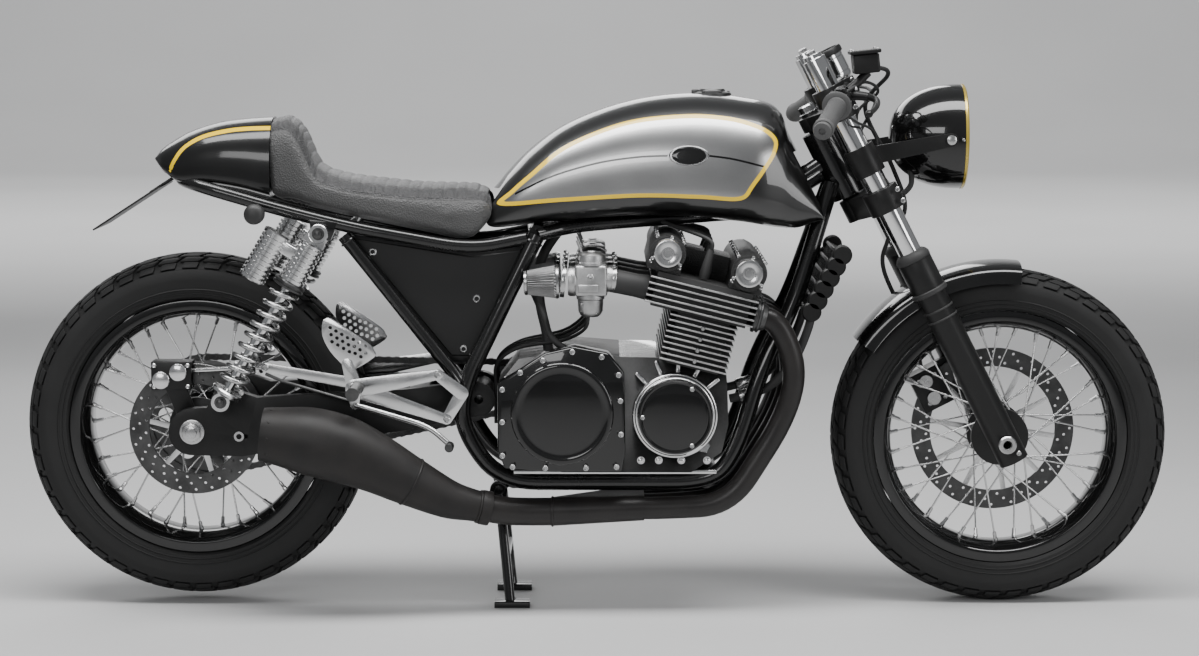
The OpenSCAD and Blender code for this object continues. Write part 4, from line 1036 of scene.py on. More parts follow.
def studs():
    """Head nuts between the fins and plug wells between the cams."""
    bm = bmesh.new()
    for y in (-150, -90, -30, 30, 90, 150):
        for x in (-72, 44):
            add(bm, washer_stack(8, 10), BARREL @ placed((x - 24 if x < 0 else x + 22, y, 154.5), (0, 0, 1)))
    for side in (-1, 1):
        for s in (14, 34, 54, 74):
            add(bm, lathe([(0, 3), (3.2, 3), (4, 2), (4, -6), (0, -6)], 12),
                BARREL @ placed((0, side * 179, s + 1), (0, side, 0)))
    return piece("head_nuts", bm, "root", [bright_steel])


studs()


# %% Cam covers with turned end caps
CAM_X = (-92, 55)
CAM_S = 189


def cam_caps():
    bm = bmesh.new()
    for side in (-1, 1):
        for x in CAM_X:
            cap = lathe([(0, 5.5), (7, 5.5), (8, 3.2), (11, 3.0), (12, 6.0), (20, 8.5), (24, 7.5), (26.5, 3), (27, 0),
                         (0, 0)], 48)
            add(bm, cap, BARREL @ placed((x, side * 176, CAM_S), (0, side, 0)))
            for k in range(3):
                a = math.radians(90 + 120 * k)
                at = (x + 29.4 * math.cos(a), side * 176, CAM_S + 29.4 * math.sin(a))
                add(bm, screw(3.4, 4), BARREL @ placed(at, (0, side, 0)))
    return piece("cam_end_caps", bm, "root", [polished_alloy])


def cam_bolts():
    bm = bmesh.new()
    for x in CAM_X:
        for y in range(-156, 157, 52):
            for dx in (-23, 23):
                add(bm, screw(4.6, 5), BARREL @ placed((x + dx, y, 211), (dx * 0.028, 0, 1)))
    for side in (-1, 1):
        for x in (-118, -66, 29, 81):
            add(bm, screw(3.6, 4), BARREL @ placed((x, side * 168, 168), (0, side, 0)))
    return piece("cam_cover_screws", bm, "root", [bright_steel])


dress("cam_cover", crackle_black, 3.0)
cam_caps()
cam_bolts()


# %% Side covers
def split_covers(node, materials, chooser):
    """Softened casting whose faces take one of two materials."""
    bm = flat_joined(node)
    soften(bm, 4.0)
    for f in bm.faces:
        f.material_index = chooser(f.calc_center_median(), f.normal)
    return stand_in(node + "_painted", bm, node, materials)


IGNITION_X, IGNITION_Z = 138, 362


def round_ring(p):
    """Distance from the axis of the ignition cover."""
    return math.hypot(p.x - IGNITION_X, p.z - IGNITION_Z)


split_covers("right_engine_covers", [gloss_black, polished_alloy],
             lambda p, n: 1 if p.x > 55 and (round_ring(p) > 67.5 or p.y > -170) else 0)
split_covers("left_engine_covers", [gloss_black, polished_alloy], lambda p, n: 0)
dark_cast = finish("dark_cast", grey(0.05), grey(0.10), (0.42, 0.56), metallic=0.8, bump=0.5, grain=0.001, pits=0.6,
                   patch=0.05)
split_covers("crankcase", [polished_alloy, dark_cast], lambda p, n: 1 if p.x < 40 else 0)


def cover_screws():
    bm = bmesh.new()
    for x, z in ((-168, 292), (-150, 272), (-92, 270), (-20, 270), (34, 272), (42, 330), (41, 390), (38, 436),
                 (8, 468),
                 (-44, 477), (-96, 462), (-136, 440), (-168, 410), (-168, 352)):
        add(bm, screw(5.0, 6), placed((x, -178.2, z), (0, -1, 0)))
    for k in range(3):
        a = math.radians(60 + 120 * k)
        for r, y in ((58, -192.2), (64, 196.2)):
            at = (IGNITION_X + r * math.cos(a), y, IGNITION_Z + r * math.sin(a))
            add(bm, screw(4.2, 5), placed(at, (0, math.copysign(1, y), 0)))
    for x, z in ((-176, 330), (-160, 288), (-60, 286), (20, 288), (40, 340), (36, 420), (-10, 440), (-110, 442),
                 (-176, 400)):
        add(bm, screw(4.6, 5), placed((x, 156.2, z), (0, 1, 0)))
    return piece("cover_screws", bm, "root", [bright_steel])


cover_screws()


def cover_relief():
    """Low domes on the clutch cover and the ignition covers, and the rim of the right one."""
    bm = bmesh.new()
    for profile, steps, at in (
            ([(0, 4.2), (70, 3.6), (78, 2.6), (80, 3.6), (84, 4.2), (88, 3.4), (91, 0.8), (92, -1), (0, -1)], 72,
             (-62, -177.6, 366)),
            ([(58, 0), (60, 3), (63, 3.6), (66, 1.2), (66.6, -2), (58, -2)], 64, (IGNITION_X, -191.6, IGNITION_Z)),
            ([(0, 2.2), (40, 1.8), (55, 0.4), (56, -1), (0, -1)], 64, (IGNITION_X, -191.8, IGNITION_Z)),
            ([(0, 3), (58, 2.4), (66, 0.4), (67, -1), (0, -1)], 64, (IGNITION_X, 195.8, IGNITION_Z))):
        add(bm, lathe(profile, steps), placed(at, (0, math.copysign(1, at[1]), 0)))
    return piece("cover_domes", bm, "root", [gloss_black])


def case_ribs():
    """Cast webs from the ignition housing up to the barrels, the sump joint and the drain plug."""
    bm = bmesh.new()
    for side in (-1, 1):
        for a in (38, 62, 86, 110, 134):
            c, s = math.cos(math.radians(a)), math.sin(math.radians(a))
            rib = rounded_box((-5, -4, 0), (5, 4, 30), 2.4)
            add(bm, rib, placed((IGNITION_X + 70 * c, side * 134, IGNITION_Z + 70 * s), (c, 0, s)))
        for x in (78, 110, 150, 196):
            add(bm, washer_stack(7, 8), placed((x, side * 130.2, 276), (0, side, 0)))
    add(bm, rounded_box((-150, -128, 250), (214, 128, 258), 2))
    add(bm, lathe([(0, 16), (11, 16), (13, 14), (13, 4), (17, 3), (17, 0), (0, 0)], 6),
        placed((190, -118, 300), (0, -1, 0.1)))
    add(bm, lathe([(0, 10), (20, 10), (24, 6), (26, 0), (0, 0)], 24), placed((222, 0, 320), (1, 0, 0)))
    return piece("case_ribs", bm, "root", [polished_alloy], 38)


cover_relief()
case_ribs()
print("engine dressed")

# %% [markdown]
# ## Carburettors and filters
# Four carburettors stand in a row between the rubber stubs of the head and the pleated filters. Each
# is built once from turned and bevelled parts, with its float bowl, cap, screws and clamp rings, and
# then repeated at the spacing of the cylinders.

# %% Carburettor
CARB_Y = (-135, -45, 45, 135)


def carb_alloy():
    bm = bmesh.new()
    rounded_box((-40, -25, 572), (18, 25, 628), 6, bm)
    add(bm, lathe([(0, -36), (14, -36), (18, -33), (22, -26), (23, -6), (25, -4), (25, 4), (0, 4)], 28),
        placed((-12, 0, 571), (0, 0, 1)))
    add(bm, lathe([(0, 25), (8, 25), (10, 23), (18, 22), (24, 18), (25.5, 12), (25.5, 6), (28, 5), (28, 0), (0, 0)],
                  28),
        placed((-10, 0, 627), (0, 0, 1)))
    add(bm, lathe([(20, -8), (25, -8), (27, -4), (27, 4), (24, 8), (20, 8)], 28), placed((-44, 0, 598), (1, 0, 0)))
    add(bm, lathe([(17, -6), (23, -6), (24, 0), (23, 6), (17, 6)], 28), placed((22, 0, 602), (1, 0, -0.1)))
    for side in (-1, 1):
        add(bm, rounded_box((-34, side * 26.5 - 4.5, 580), (2, side * 26.5 + 4.5, 594), 2))
        for x in (-26, -2):
            add(bm, screw(3, 3.4), placed((x - 4, side * 18, 630), (0, 0, 1)))
            add(bm, screw(2.6, 3), placed((x - 2, side * 17, 561), (0, 0, -1)))
    add(bm, lathe([(0, 14), (3, 14), (4, 12), (4, 4), (6, 3), (6, 0), (0, 0)], 12),
        placed((-12, -24, 606), (0, -1, 0.3)))
    add(bm, lathe([(0, 22), (2.4, 22), (2.4, 0), (0, 0)], 10), placed((-28, 0, 650), (-0.4, 0, 1)))
    return bm


def carburettors():
    bm, rubber = bmesh.new(), bmesh.new()
    for y in CARB_Y:
        add(bm, carb_alloy(), Matrix.Translation((0, y, 0)))
        start, end = barrel_point(-110, y, 118), Vector((22, y, 600))
        add(rubber, tube([start, start.lerp(end, 0.3), start.lerp(end, 0.7), end], [22.5, 21, 21, 21.5], 24))
    bmesh.ops.create_cone(bm, cap_ends=True, segments=12, radius1=4, radius2=4, depth=300,
                          matrix=placed((-30, 0, 640), (0, 1, 0)))
    add(bm, rounded_box((-36, -150, 590), (-22, 150, 603), 2.5))
    piece("carburettor_bodies", bm, "root", [cast_bright], 40, ("carburettors",))
    piece("intake_rubbers", rubber, "root", [soft_rubber])
    bands = bmesh.new()
    for y in CARB_Y:
        for x, z, r in ((30, 601, 22.6), (-60, 598, 28.4)):
            add(bands, lathe([(r - 2, -4), (r, -4), (r + 0.8, -3), (r + 0.8, 3), (r, 4), (r - 2, 4)], 32),
                placed((x, y, z), (1, 0, -0.1)))
            add(bands, screw(3, 12), placed((x, y - 4, z + r + 2), (0, -1, 0)))
    piece("clamp_bands", bands, "root", [bright_steel])


cast_bright = finish("cast_bright", grey(0.38), grey(0.52), (0.28, 0.42), metallic=1.0, bump=0.35, grain=0.0009,
                     pits=0.5, patch=0.02)
carburettors()


# %% Pleated filters
def mesh_finish():
    """Woven wire over the pleats: two sets of fine ridges that cross."""
    mat = finish("filter_weave", grey(0.22), grey(0.36), (0.35, 0.5), metallic=1.0, bump=0.0, patch=0.02)
    tree = mat.node_tree
    place = put(tree, "TexCoord").outputs["Object"]
    waves = [put(tree, "TexWave", [("Scale", 160), ("Vector", place)], bands_direction=axis) for axis in "XZ"]
    total = put(tree, "Math", [(k, wave.outputs["Fac"]) for k, wave in enumerate(waves)], operation="MAXIMUM")
    raised = put(tree, "Bump", [("Strength", 0.7), ("Distance", 0.0008), ("Height", total.outputs[0])])
    tree.links.new(raised.outputs["Normal"], tree.nodes["Principled BSDF"].inputs["Normal"])
    return mat


PLEATS = 72


def pod_filters():
    bm = bmesh.new()
    for y in CARB_Y:
        part = lathe([(0, 0), (29.5, 0), (30.5, 4), (29, 8), (21.5, 55), (22.5, 57), (21.5, 61), (17, 62), (0, 60.5)],
                     PLEATS)
        for v in part.verts:
            if 8.5 > v.co.z > 7.5 or 54.5 < v.co.z < 55.5:
                k = round(math.atan2(v.co.y, v.co.x) / math.tau * PLEATS)
                f = 0.9 if k % 2 else 1.0
                v.co.x, v.co.y = v.co.x * f, v.co.y * f
        for f in part.faces:
            z = f.calc_center_median().z
            f.material_index = 1 if 8 < z < 55 else 0
        add(bm, part, placed((-68.3, y, 597), (-1, 0, -0.035)))
    return piece("pod_filters", bm, "root", [bright_steel, mesh_finish()], 50, ("air_filters",))


pod_filters()


# %% Ignition leads and hoses
def lead(name, points, radius, body="root", steps=8, sides=10):
    """Rubber hose or cable that runs smoothly through its points."""
    line = smooth_path([tuple(p) for p in points], steps)
    return piece(name, tube(line, radius, sides), body, [soft_rubber], 60)


def ignition():
    boots = bmesh.new()
    for k, y in enumerate(CARB_Y):
        foot = barrel_point(-18, y, 158)
        top = barrel_point(-18, y, 206)
        add(boots, lathe([(0, 0), (9, 0), (10, 12), (8, 30), (6, 50), (4.5, 54), (0, 54)], 16),
            placed(foot, top - foot))
        end = (60 - 22 * k, 40 - y * 0.12, 712)
        lead("plug_lead_%d" % (k + 1), [top, top + Vector((-2, 0, 22)), ((top.x + end[0]) / 2, y * 0.6, 694), end],
             3.6)
    piece("plug_boots", boots, "root", [soft_rubber])


ignition()


def breathers():
    """Thin drain hoses from the float bowls, a wide breather and a wrapped loom behind the cylinders."""
    for k, y in enumerate(CARB_Y):
        path = [(-16, y, 540), (-22, y * 0.95, 512), (-62, y * 0.6, 486), (-140, y * 0.4, 470), (-181, y * 0.34, 440),
                (-184, y * 0.3, 396), (-184, y * 0.3, 330)]
        lead("drain_hose_%d" % (k + 1), path, 3.2, "root", 6, 8)
    lead("breather_hose", [(-88, -60, 462), (-92, -60, 500), (-104, -52, 560), (-100, -30, 630), (-60, -14, 690)], 9,
         "root", 6, 14)
    lead("wiring_loom", [(-150, 40, 640), (-128, 0, 590), (-96, -84, 530), (-84, -118, 500), (-60, -124, 478),
                         (-20, -124, 466)], 6, "root", 6, 12)


breathers()

# %% [markdown]
# ## Front end
# The fork, the lamp and the bars are what the rider looks at all day, so they get the small parts
# that make them real: pinch bolts in the yokes, dust wipers on the sliders, a lens in a thin rim,
# gauges with a dial behind glass, switches, levers and cables.

# %% Fork trim
RAKE = math.radians(27)
FORK = Matrix.Translation(FRONT_AXLE) @ Matrix.Rotation(-RAKE, 4, "Y")


def fork_point(x, y, s):
    return FORK @ Vector((x, y, s))


def fork_trim():
    bright, black = bmesh.new(), bmesh.new()
    for side in (-1, 1):
        y = side * 105
        leg = FORK @ Matrix.Translation((0, y, 0))
        add(black, lathe([(21.2, 366), (30, 366), (31.6, 368), (31.6, 374), (28, 380), (24, 383), (21.2, 384)], 40),
            leg)
        add(black, lathe([(31.2, 300), (33.4, 302), (33.4, 308), (31.2, 310)], 40), leg)
        add(bright, lathe([(0, 777), (8, 777), (9, 782), (4, 784), (0, 784)], 6), leg)
        for s, x in ((476, 36), (498, 36), (662, 34)):
            add(bright, screw(4.6, 6), FORK @ placed((x - 8, y + side * 32.2, s), (0, side, 0)))
        add(bright, lathe([(7.2, -2), (14.5, -2), (16, 0), (16, 3), (14, 5), (8.5, 5), (7.2, 3)], 32),
            placed(FRONT_AXLE + Vector((0, side * 141, 0)), (0, side, 0)))
        add(bright, screw(4.4, 5), FORK @ placed((12, side * 131.2, -24), (0, side, 0)))
        for s in (250, 268):
            add(black, lathe([(27.2, s), (28.4, s + 1), (28.4, s + 3), (27.2, s + 4)], 40), leg)
    add(bright, lathe([(0, 14), (13, 14), (15, 12), (15, 2), (19, 0), (0, 0)], 6),
        FORK @ placed((-45, 0, 681), (0, 0, 1)))
    piece("fork_bright_parts", bright, "steering", [bright_steel])
    piece("fork_wipers", black, "steering", [soft_rubber])


fork_trim()

# %% Headlight
LAMP = Vector((655, 0, 848))
LAMP_R = 94
LAMP_AT = placed(LAMP, (1, 0, 0))


def headlight():
    profile = [(0, -128)]
    for k in range(1, 31):
        t = k / 30
        a = math.radians(t * 90)
        profile.append((LAMP_R * math.sin(a) ** 0.82, -128 + 118 * (1 - math.cos(a)) + 2 * t))
    profile += [(LAMP_R, 0), (LAMP_R - 1, 4), (LAMP_R - 4, 6), (LAMP_R - 7, 5.6), (LAMP_R - 7, -6), (0, -6)]
    piece("headlight_bowl", move(lathe(profile, 96), LAMP_AT), "steering", [gloss_black], 40,
          ("headlight_shell",))
    rim = lathe([(LAMP_R - 9, 3.5), (LAMP_R - 6, 6.4), (LAMP_R - 2, 7.2), (LAMP_R + 0.6, 5), (LAMP_R + 0.8, 1),
                 (LAMP_R - 2, 0),
                 (LAMP_R - 9, 1)], 96)
    piece("headlight_rim", move(rim, LAMP_AT), "steering", [lamp_rim])
    lens = lathe([(0, 12.5), (20, 12.1), (40, 10.6), (60, 8), (75, 5), (LAMP_R - 8, 2), (LAMP_R - 8, 0), (75, 3),
                  (60, 6),
                  (40, 8.6), (20, 10.1), (0, 10.5)], 96)
    piece("headlight_glass", move(lens, LAMP_AT), "steering", [clear_glass], 60, ("headlight_lens",))
    bowl = lathe([(LAMP_R - 9, 1), (70, -1.5), (50, -3.5), (30, -4.6), (16, -5), (13, -5), (13, 1), (9, 4), (0, 5)],
                 72)
    for v in bowl.verts:
        r = math.hypot(v.co.x, v.co.y)
        if 20 < r < 80:
            v.co.z += 0.7 * math.cos(12 * math.atan2(v.co.y, v.co.x))
    piece("headlight_reflector", move(bowl, LAMP_AT), "steering", [chrome_plate], 60)
    small = bmesh.new()
    for side in (-1, 1):
        add(small, lathe([(0, 6), (5, 6), (8.5, 4.5), (9, 2), (9, 0), (0, 0)], 24),
            placed(LAMP + Vector((-26, side * 101.6, -2)), (0, side, 0)))
        add(small, screw(3.2, 3), placed(LAMP + Vector((-4, side * 94, -2)), (0, side, 0)))
    piece("headlight_bolts", small, "steering", [bright_steel])


lamp_rim = finish("lamp_rim", (0.5, 0.36, 0.05), (0.62, 0.46, 0.08), (0.22, 0.34), metallic=0.6, bump=0.02, coat=0.6)
headlight()

# %% [markdown]
# ## Bars, controls and gauges
# A turned cup holds the one small gauge. Its dial is a plain ring of ticks with a needle, drawn as
# thin raised shapes, because a gauge without a scale looks unfinished.


# %% Gauges
def dial(bm_face, bm_marks, where, r):
    add(bm_face, lathe([(0, 0.6), (r - 2, 0.6), (r, 0), (0, 0)], 48), where)
    for k in range(28):
        a = math.radians(-40 + k * 260 / 27)
        tick = rounded_box((r - (9 if k % 3 == 0 else 6), -0.4, 0.6), (r - 3.2, 0.4, 1.0), 0.1)
        add(bm_marks, tick, where @ Matrix.Rotation(a, 4, "Z"))
    add(bm_marks, rounded_box((-6, -0.7, 1.2), (r - 8, 0.7, 1.9), 0.2),
        where @ Matrix.Rotation(math.radians(150), 4, "Z"))
    add(bm_marks, lathe([(0, 3), (2.6, 2.8), (3, 1.2), (3, 0.6), (0, 0.6)], 20), where)


def gauge():
    cups, rims, faces, marks, glass = (bmesh.new() for k in range(5))
    r, h0, h1 = 33, 30, 80
    where = FORK @ Matrix.Translation((24, 0, 675.3))
    add(cups, lathe([(0, h0 - 2), (r - 9, h0 - 2), (r - 3, h0 + 2), (r, h0 + 8), (r, h0 + 14), (r - 1, h0 + 15),
                     (r, h0 + 16),
                     (r, h1 - 8), (r - 1, h1 - 7), (r, h1 - 6), (r, h1), (0, h1)], 64), where)
    add(rims, lathe([(r - 4, h1 - 1), (r + 1, h1 - 1), (r + 3, h1 + 1), (r + 3, h1 + 9), (r + 1, h1 + 12),
                     (r - 3, h1 + 12),
                     (r - 5, h1 + 9), (r - 5, h1 + 1)], 64), where)
    add(rims, lathe([(0, 0), (14, 0), (14, h0 - 2), (0, h0 - 2)], 24), where)
    dial(faces, marks, where @ Matrix.Translation((0, 0, h1 + 2)), r - 5)
    add(glass, lathe([(0, h1 + 9.4), (r - 8, h1 + 8.6), (r - 4.6, h1 + 7.6), (r - 4.6, h1 + 6.8), (0, h1 + 8.4)], 48),
        where)
    piece("gauge_cups", cups, "steering", [chrome_plate], 40, ("speedometer",))
    piece("gauge_rims", rims, "steering", [satin_black])
    piece("gauge_dials", faces, "steering", [moulded_black])
    piece("gauge_marks", marks, "steering", [dial_white])
    piece("gauge_glass", glass, "steering", [clear_glass], 60)


dial_white = finish("dial_white", grey(0.62), grey(0.72), (0.5, 0.6), bump=0.0)
gauge()

# %% Bars
BAR_START = fork_point(34, -105, 697)
BAR_END = Vector((382, -355, 877))
BAR_WAY = (BAR_END - BAR_START).normalized()


def bar_point(y):
    """The point of the right bar's centre line at that y."""
    return BAR_START + BAR_WAY * ((-y - 105) / -BAR_WAY.y)


PERCH, SWITCH, GRIP_IN = bar_point(-176), bar_point(-204), bar_point(-222)


def flip(v, side):
    return Vector((v.x, -side * v.y, v.z))


def mirror_side(bm, side):
    """Leaves the right side as it is and turns a copy into the left side."""
    if side > 0:
        bmesh.ops.scale(bm, vec=(1, -1, 1), verts=bm.verts)
        bmesh.ops.reverse_faces(bm, faces=bm.faces)
    return bm


def grip(side):
    bm = bmesh.new()
    length = (BAR_END - GRIP_IN).length + 4
    profile = [(11.2, 0), (25, 0), (26, 1.5), (26, 4.5), (24, 6), (17.5, 7)]
    for k in range(22):
        z = 10 + k * (length - 24) / 22
        profile += [(16.6, z), (16.6, z + 2.4), (15.7, z + 3.0), (15.7, z + 4.0)]
    profile += [(16.6, length - 12), (18.2, length - 9), (18.2, length - 2), (16.4, length), (0, length)]
    add(bm, lathe(profile, 36), placed(GRIP_IN, BAR_WAY))
    return mirror_side(bm, side)


def bar_end_weight(side):
    bm = bmesh.new()
    add(bm, lathe([(0, 0), (13, 0), (15.5, 3), (16, 8), (14.5, 11), (9, 12), (6, 12), (5, 9), (0, 9)], 32),
        placed(BAR_END + BAR_WAY * 4, BAR_WAY))
    return mirror_side(bm, side)


def switch_block(side):
    bm = bmesh.new()
    where = placed(SWITCH, BAR_WAY)
    add(bm, rounded_box((-19, -19, -13), (19, 19, 13), 7), where)
    add(bm, rounded_box((-6, 18, -7), (6, 24, 1), 1.6), where)
    add(bm, lathe([(0, 27), (4, 26), (5, 24), (5, 18), (0, 18)], 16),
        where @ Matrix.Translation((10, 0, 4)) @ Matrix.Rotation(math.radians(-90), 4, "X"))
    return mirror_side(bm, side)


def lever_kit(side):
    """Perch and a lever blade with a ball end; its pinch screw is added in bars."""
    bm, a = bmesh.new(), PERCH
    add(bm, tube([a - BAR_WAY * 15, a + BAR_WAY * 15], 18.2, 28))
    add(bm, tube(smooth_path([a + Vector((14, 0, 4)), a + Vector((30, -6, 4)), a + Vector((46, -14, 2))], 5),
                 [9 - k * 0.14 for k in range(11)], 18))
    path = smooth_path([a + Vector((46, -14, 2)), a + Vector((57, -40, -3)), a + Vector((52, -90, -12)),
                        a + Vector((36, -146, -22))], 7)
    add(bm, tube(path, [6.5 - 0.11 * k for k in range(len(path))], 14))
    add(bm, lathe([(0, -7), (4, -6), (6.6, -2.4), (7, 0), (6.6, 2.4), (4, 6), (0, 7)], 18),
        placed(a + Vector((34, -150, -22)), BAR_WAY))
    return mirror_side(bm, side)


def bars():
    grips, weights, blocks, levers = (bmesh.new() for k in range(4))
    for side in (-1, 1):
        add(grips, grip(side))
        add(weights, bar_end_weight(side))
        add(blocks, switch_block(side))
        add(levers, lever_kit(side))
    a = PERCH
    cup_at = Matrix.Translation(a) @ Matrix.Rotation(math.radians(-6), 4, "Y")
    add(levers, rounded_box((26, -6, 38), (72, 52, 72), 4), cup_at)
    add(levers, rounded_box((22, -10, 72), (76, 56, 79), 2.4), cup_at)
    add(levers, tube([a + Vector((12, 0, 13)), a + Vector((30, 8, 28)), a + Vector((46, 14, 44))], 8, 16))
    piece("bar_grips", grips, "steering", [grip_rubber], 40, ("grips",))
    piece("bar_end_weights", weights, "steering", [grip_rubber])
    piece("switch_blocks", blocks, "steering", [satin_black])
    piece("lever_sets", levers, "steering", [satin_black], 40, ("hand_controls",))
    ring = bmesh.new()
    for side in (-1, 1):
        add(ring, mirror_side(tube([bar_point(-221), bar_point(-219)], 14, 28), side))
    piece("grip_rings", ring, "steering", [red_ring])
    small = bmesh.new()
    for dx, dy in ((28, -4), (70, -4), (28, 50), (70, 50)):
        add(small, screw(3, 2.4), cup_at @ placed((dx, dy, 78.6), (0, 0, 1)))
    for side in (-1, 1):
        b = flip(a + Vector((24, -4, 14)), side)
        add(small, screw(3.4, 5), placed(b, (0, 0, 1)))
        c = flip(fork_point(34, -105, 704), side)
        add(small, screw(4.4, 6), placed(c + Vector((8, side * 14.5, 6)), (0, side, 0)))
    piece("bar_screws", small, "steering", [bright_steel])


red_ring = finish("red_ring", (0.35, 0.02, 0.015), (0.45, 0.03, 0.02), (0.25, 0.35), metallic=0.7, bump=0.05)
bars()


# %% Cables and the brake hose
def front_cables():
    """Brake hose, cables and wires; all of them ride with the bars."""
    a = PERCH
    top = a + Vector((66, 56.5, 52))
    hose = [top, top + Vector((24, 44, -14)), fork_point(50, 12, 640), fork_point(48, 30, 520),
            fork_point(36, 50, 440),
            fork_point(-18, 64, 400), fork_point(-48, 80, 350), fork_point(-52, 84, 225), fork_point(-66, 78, 161)]
    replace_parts(lead("brake_hose", hose, 4.0, "steering", 10, 14), "front_brake_hose")
    for name, points, radius in (
            ("clutch_cable", [flip(a, 1) + Vector((44, 10, 8)), Vector((500, 120, 930)), Vector((505, 40, 905)),
                              fork_point(20, 20, 600), fork_point(-2, 20, 540)], 3.0),
            ("throttle_cable", [SWITCH + Vector((12, 6, 18)), Vector((470, -150, 950)), Vector((500, -70, 930)),
                                fork_point(28, -40, 640), fork_point(6, -40, 560)], 2.8),
            ("lamp_loom", [LAMP + Vector((-96, -30, -40)), LAMP + Vector((-90, -34, -84)),
                           LAMP + Vector((-116, -34, -104)),
                           fork_point(18, -34, 520), fork_point(0, -34, 500)], 5.0),
            ("switch_wire", [SWITCH + Vector((4, 4, -16)), Vector((455, -150, 880)), fork_point(40, -60, 600),
                             fork_point(26, -60, 545)], 2.4)):
        lead(name, points, radius, "steering")


front_cables()


# %% Mudguard, one curved blade with a rolled edge
def mudguard():
    bm = bmesh.new()
    line = []
    for k in range(33):
        a = -90 + k * 180 / 32
        r = 317 - 34 + 36.4 * max(math.cos(math.radians(a)), 0.0) ** 0.5
        line.append((r, 71.2 * math.sin(math.radians(a))))
    inner = [(r - 2.2, y * 0.975) for r, y in line]
    loop = line + [(line[-1][0] - 1.6, line[-1][1] + 0.6)] + inner[::-1] + [(line[0][0] - 1.6, line[0][1] - 0.6)]
    verts = [bm.verts.new((r, 0, y)) for r, y in loop]
    edges = [bm.edges.new((verts[i], verts[(i + 1) % len(verts)])) for i in range(len(verts))]
    bmesh.ops.spin(bm, geom=verts + edges, cent=(0, 0, 0), axis=(0, 0, 1), angle=math.radians(62), steps=46,
                   use_merge=False,
                   use_duplicate=False)
    bmesh.ops.holes_fill(bm, edges=[e for e in bm.edges if e.is_boundary], sides=0)
    outward(bm)
    upright = Matrix.Rotation(math.radians(90), 4, "X") @ Matrix.Rotation(math.radians(84), 4, "Z")
    move(bm, Matrix.Translation(FRONT_AXLE) @ upright)
    for side in (-1, 1):
        add(bm, rounded_box((-13, 69, 285), (13, 78, 303), 2), FORK @ Matrix.Scale(side, 4, (0, 1, 0)))
    outward(bm)
    return piece("mudguard_blade", bm, "steering", [gloss_black], 40, ("front_mudguard",))


mudguard()


# %% Calipers
def caliper_parts():
    front, rear = bmesh.new(), bmesh.new()
    for side in (-1, 1):
        for x, s in ((-84, 98), (-84, 144), (-52, 98), (-52, 144)):
            add(front, screw(4.4, 5), FORK @ placed((x, 66 + side * 26.4, s), (0, side, 0)))
    for s in (104, 138):
        add(front, lathe([(0, 5), (12, 5), (13.5, 3.5), (13.5, 0), (0, 0)], 28),
            FORK @ placed((-72, 66 - 26, s), (0, -1, 0)))
    p = REAR_AXLE + Vector((-44, 0, 92))
    for dx in (-8, 16):
        add(rear, lathe([(0, 6), (13, 6), (15.5, 4), (16, 0), (0, 0)], 28),
            placed((p.x + dx * 1.3 - 2, -108.2, p.z + 4 + dx * 0.6), (0, -1, 0)))
    for dx, dz in ((-24, -12), (36, -12), (36, 26), (-24, 26)):
        add(rear, screw(4, 5), placed((p.x + dx, -108.2, p.z + dz), (0, -1, 0)))
    piece("front_caliper_pistons", front, "steering", [bright_steel])
    piece("rear_caliper_pistons", rear, "root", [polished_alloy])


caliper_parts()
print("front end dressed")

# %% [markdown]
# ## Frame tubes
# A motorcycle frame is bent from round steel tube and welded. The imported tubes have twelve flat
# sides, so each run is drawn again as a smooth tube on the same centre line: straight legs joined
# by rounded bends. One side is drawn, then copied and mirrored, as a frame is.


# %% Bent tube and mirrored side
def bent(points, reach=65, n=8):
    """Straight legs with rounded corners between them."""
    points = [Vector(p) for p in points]
    path = [points[0]]
    for a, b, c in zip(points, points[1:], points[2:]):
        before = b + (a - b).normalized() * min(reach, (a - b).length * 0.48)
        after = b + (c - b).normalized() * min(reach, (c - b).length * 0.48)
        path += [before.lerp(b, t).lerp(b.lerp(after, t), t) for t in [k / n for k in range(n + 1)]]
    return path + [points[-1]]


def both_sides(bm):
    """Adds the same shape on the other side of the machine."""
    twin = bmesh.ops.duplicate(bm, geom=bm.verts[:] + bm.edges[:] + bm.faces[:])["geom"]
    bmesh.ops.scale(bm, vec=(1, -1, 1), verts=verts_of(twin))
    bmesh.ops.reverse_faces(bm, faces=[g for g in twin if isinstance(g, bmesh.types.BMFace)])
    return bm


def weld_bead(at, axis, r):
    """Rippled ring of weld where one tube meets another."""
    bead = lathe([(r + 2.2 * math.cos(a), 2.4 * math.sin(a)) for a in [math.tau * k / 8 for k in range(9)]], 44)
    for v in bead.verts:
        turn = math.atan2(v.co.y, v.co.x)
        v.co *= 1 + 0.02 * math.sin(22 * turn)
    return move(bead, placed(at, axis))


# %% Main frame
DOWN_TUBE = bent([fork_point(-63, 0, 547) + Vector((-4, 24, 0)), (352, 80, 548), (292, 100, 436), (250, 112, 290),
                  (205, 112, 234),
                  (-175, 112, 234), (-243, 112, 330), (-240, 112, 405), (-108, 92, 676)], 70)
SIDE_TUBE = bent([fork_point(-63, 0, 585) + Vector((-6, 14, -20)), (300, 48, 716), (-40, 52, 690), (-108, 92, 676)],
                 60)
frame_bm = tube(DOWN_TUBE, 15, 20)
add(frame_bm, tube(SIDE_TUBE, 12, 16))
add(frame_bm, weld_bead((-114, 92.8, 664), (-0.44, 0.07, -0.9), 15))
both_sides(frame_bm)
add(frame_bm, tube(bent([fork_point(-63, 0, 585), (330, 0, 744), (-60, 0, 706), (-108, 0, 690)], 60), 20, 20))
for x, z, r, half in ((-108, 680, 14, 92), (-150, 234, 12, 112), (196, 234, 12, 112)):
    add(frame_bm, tube([(x, -half, z), (x, half, z)], r, 20))
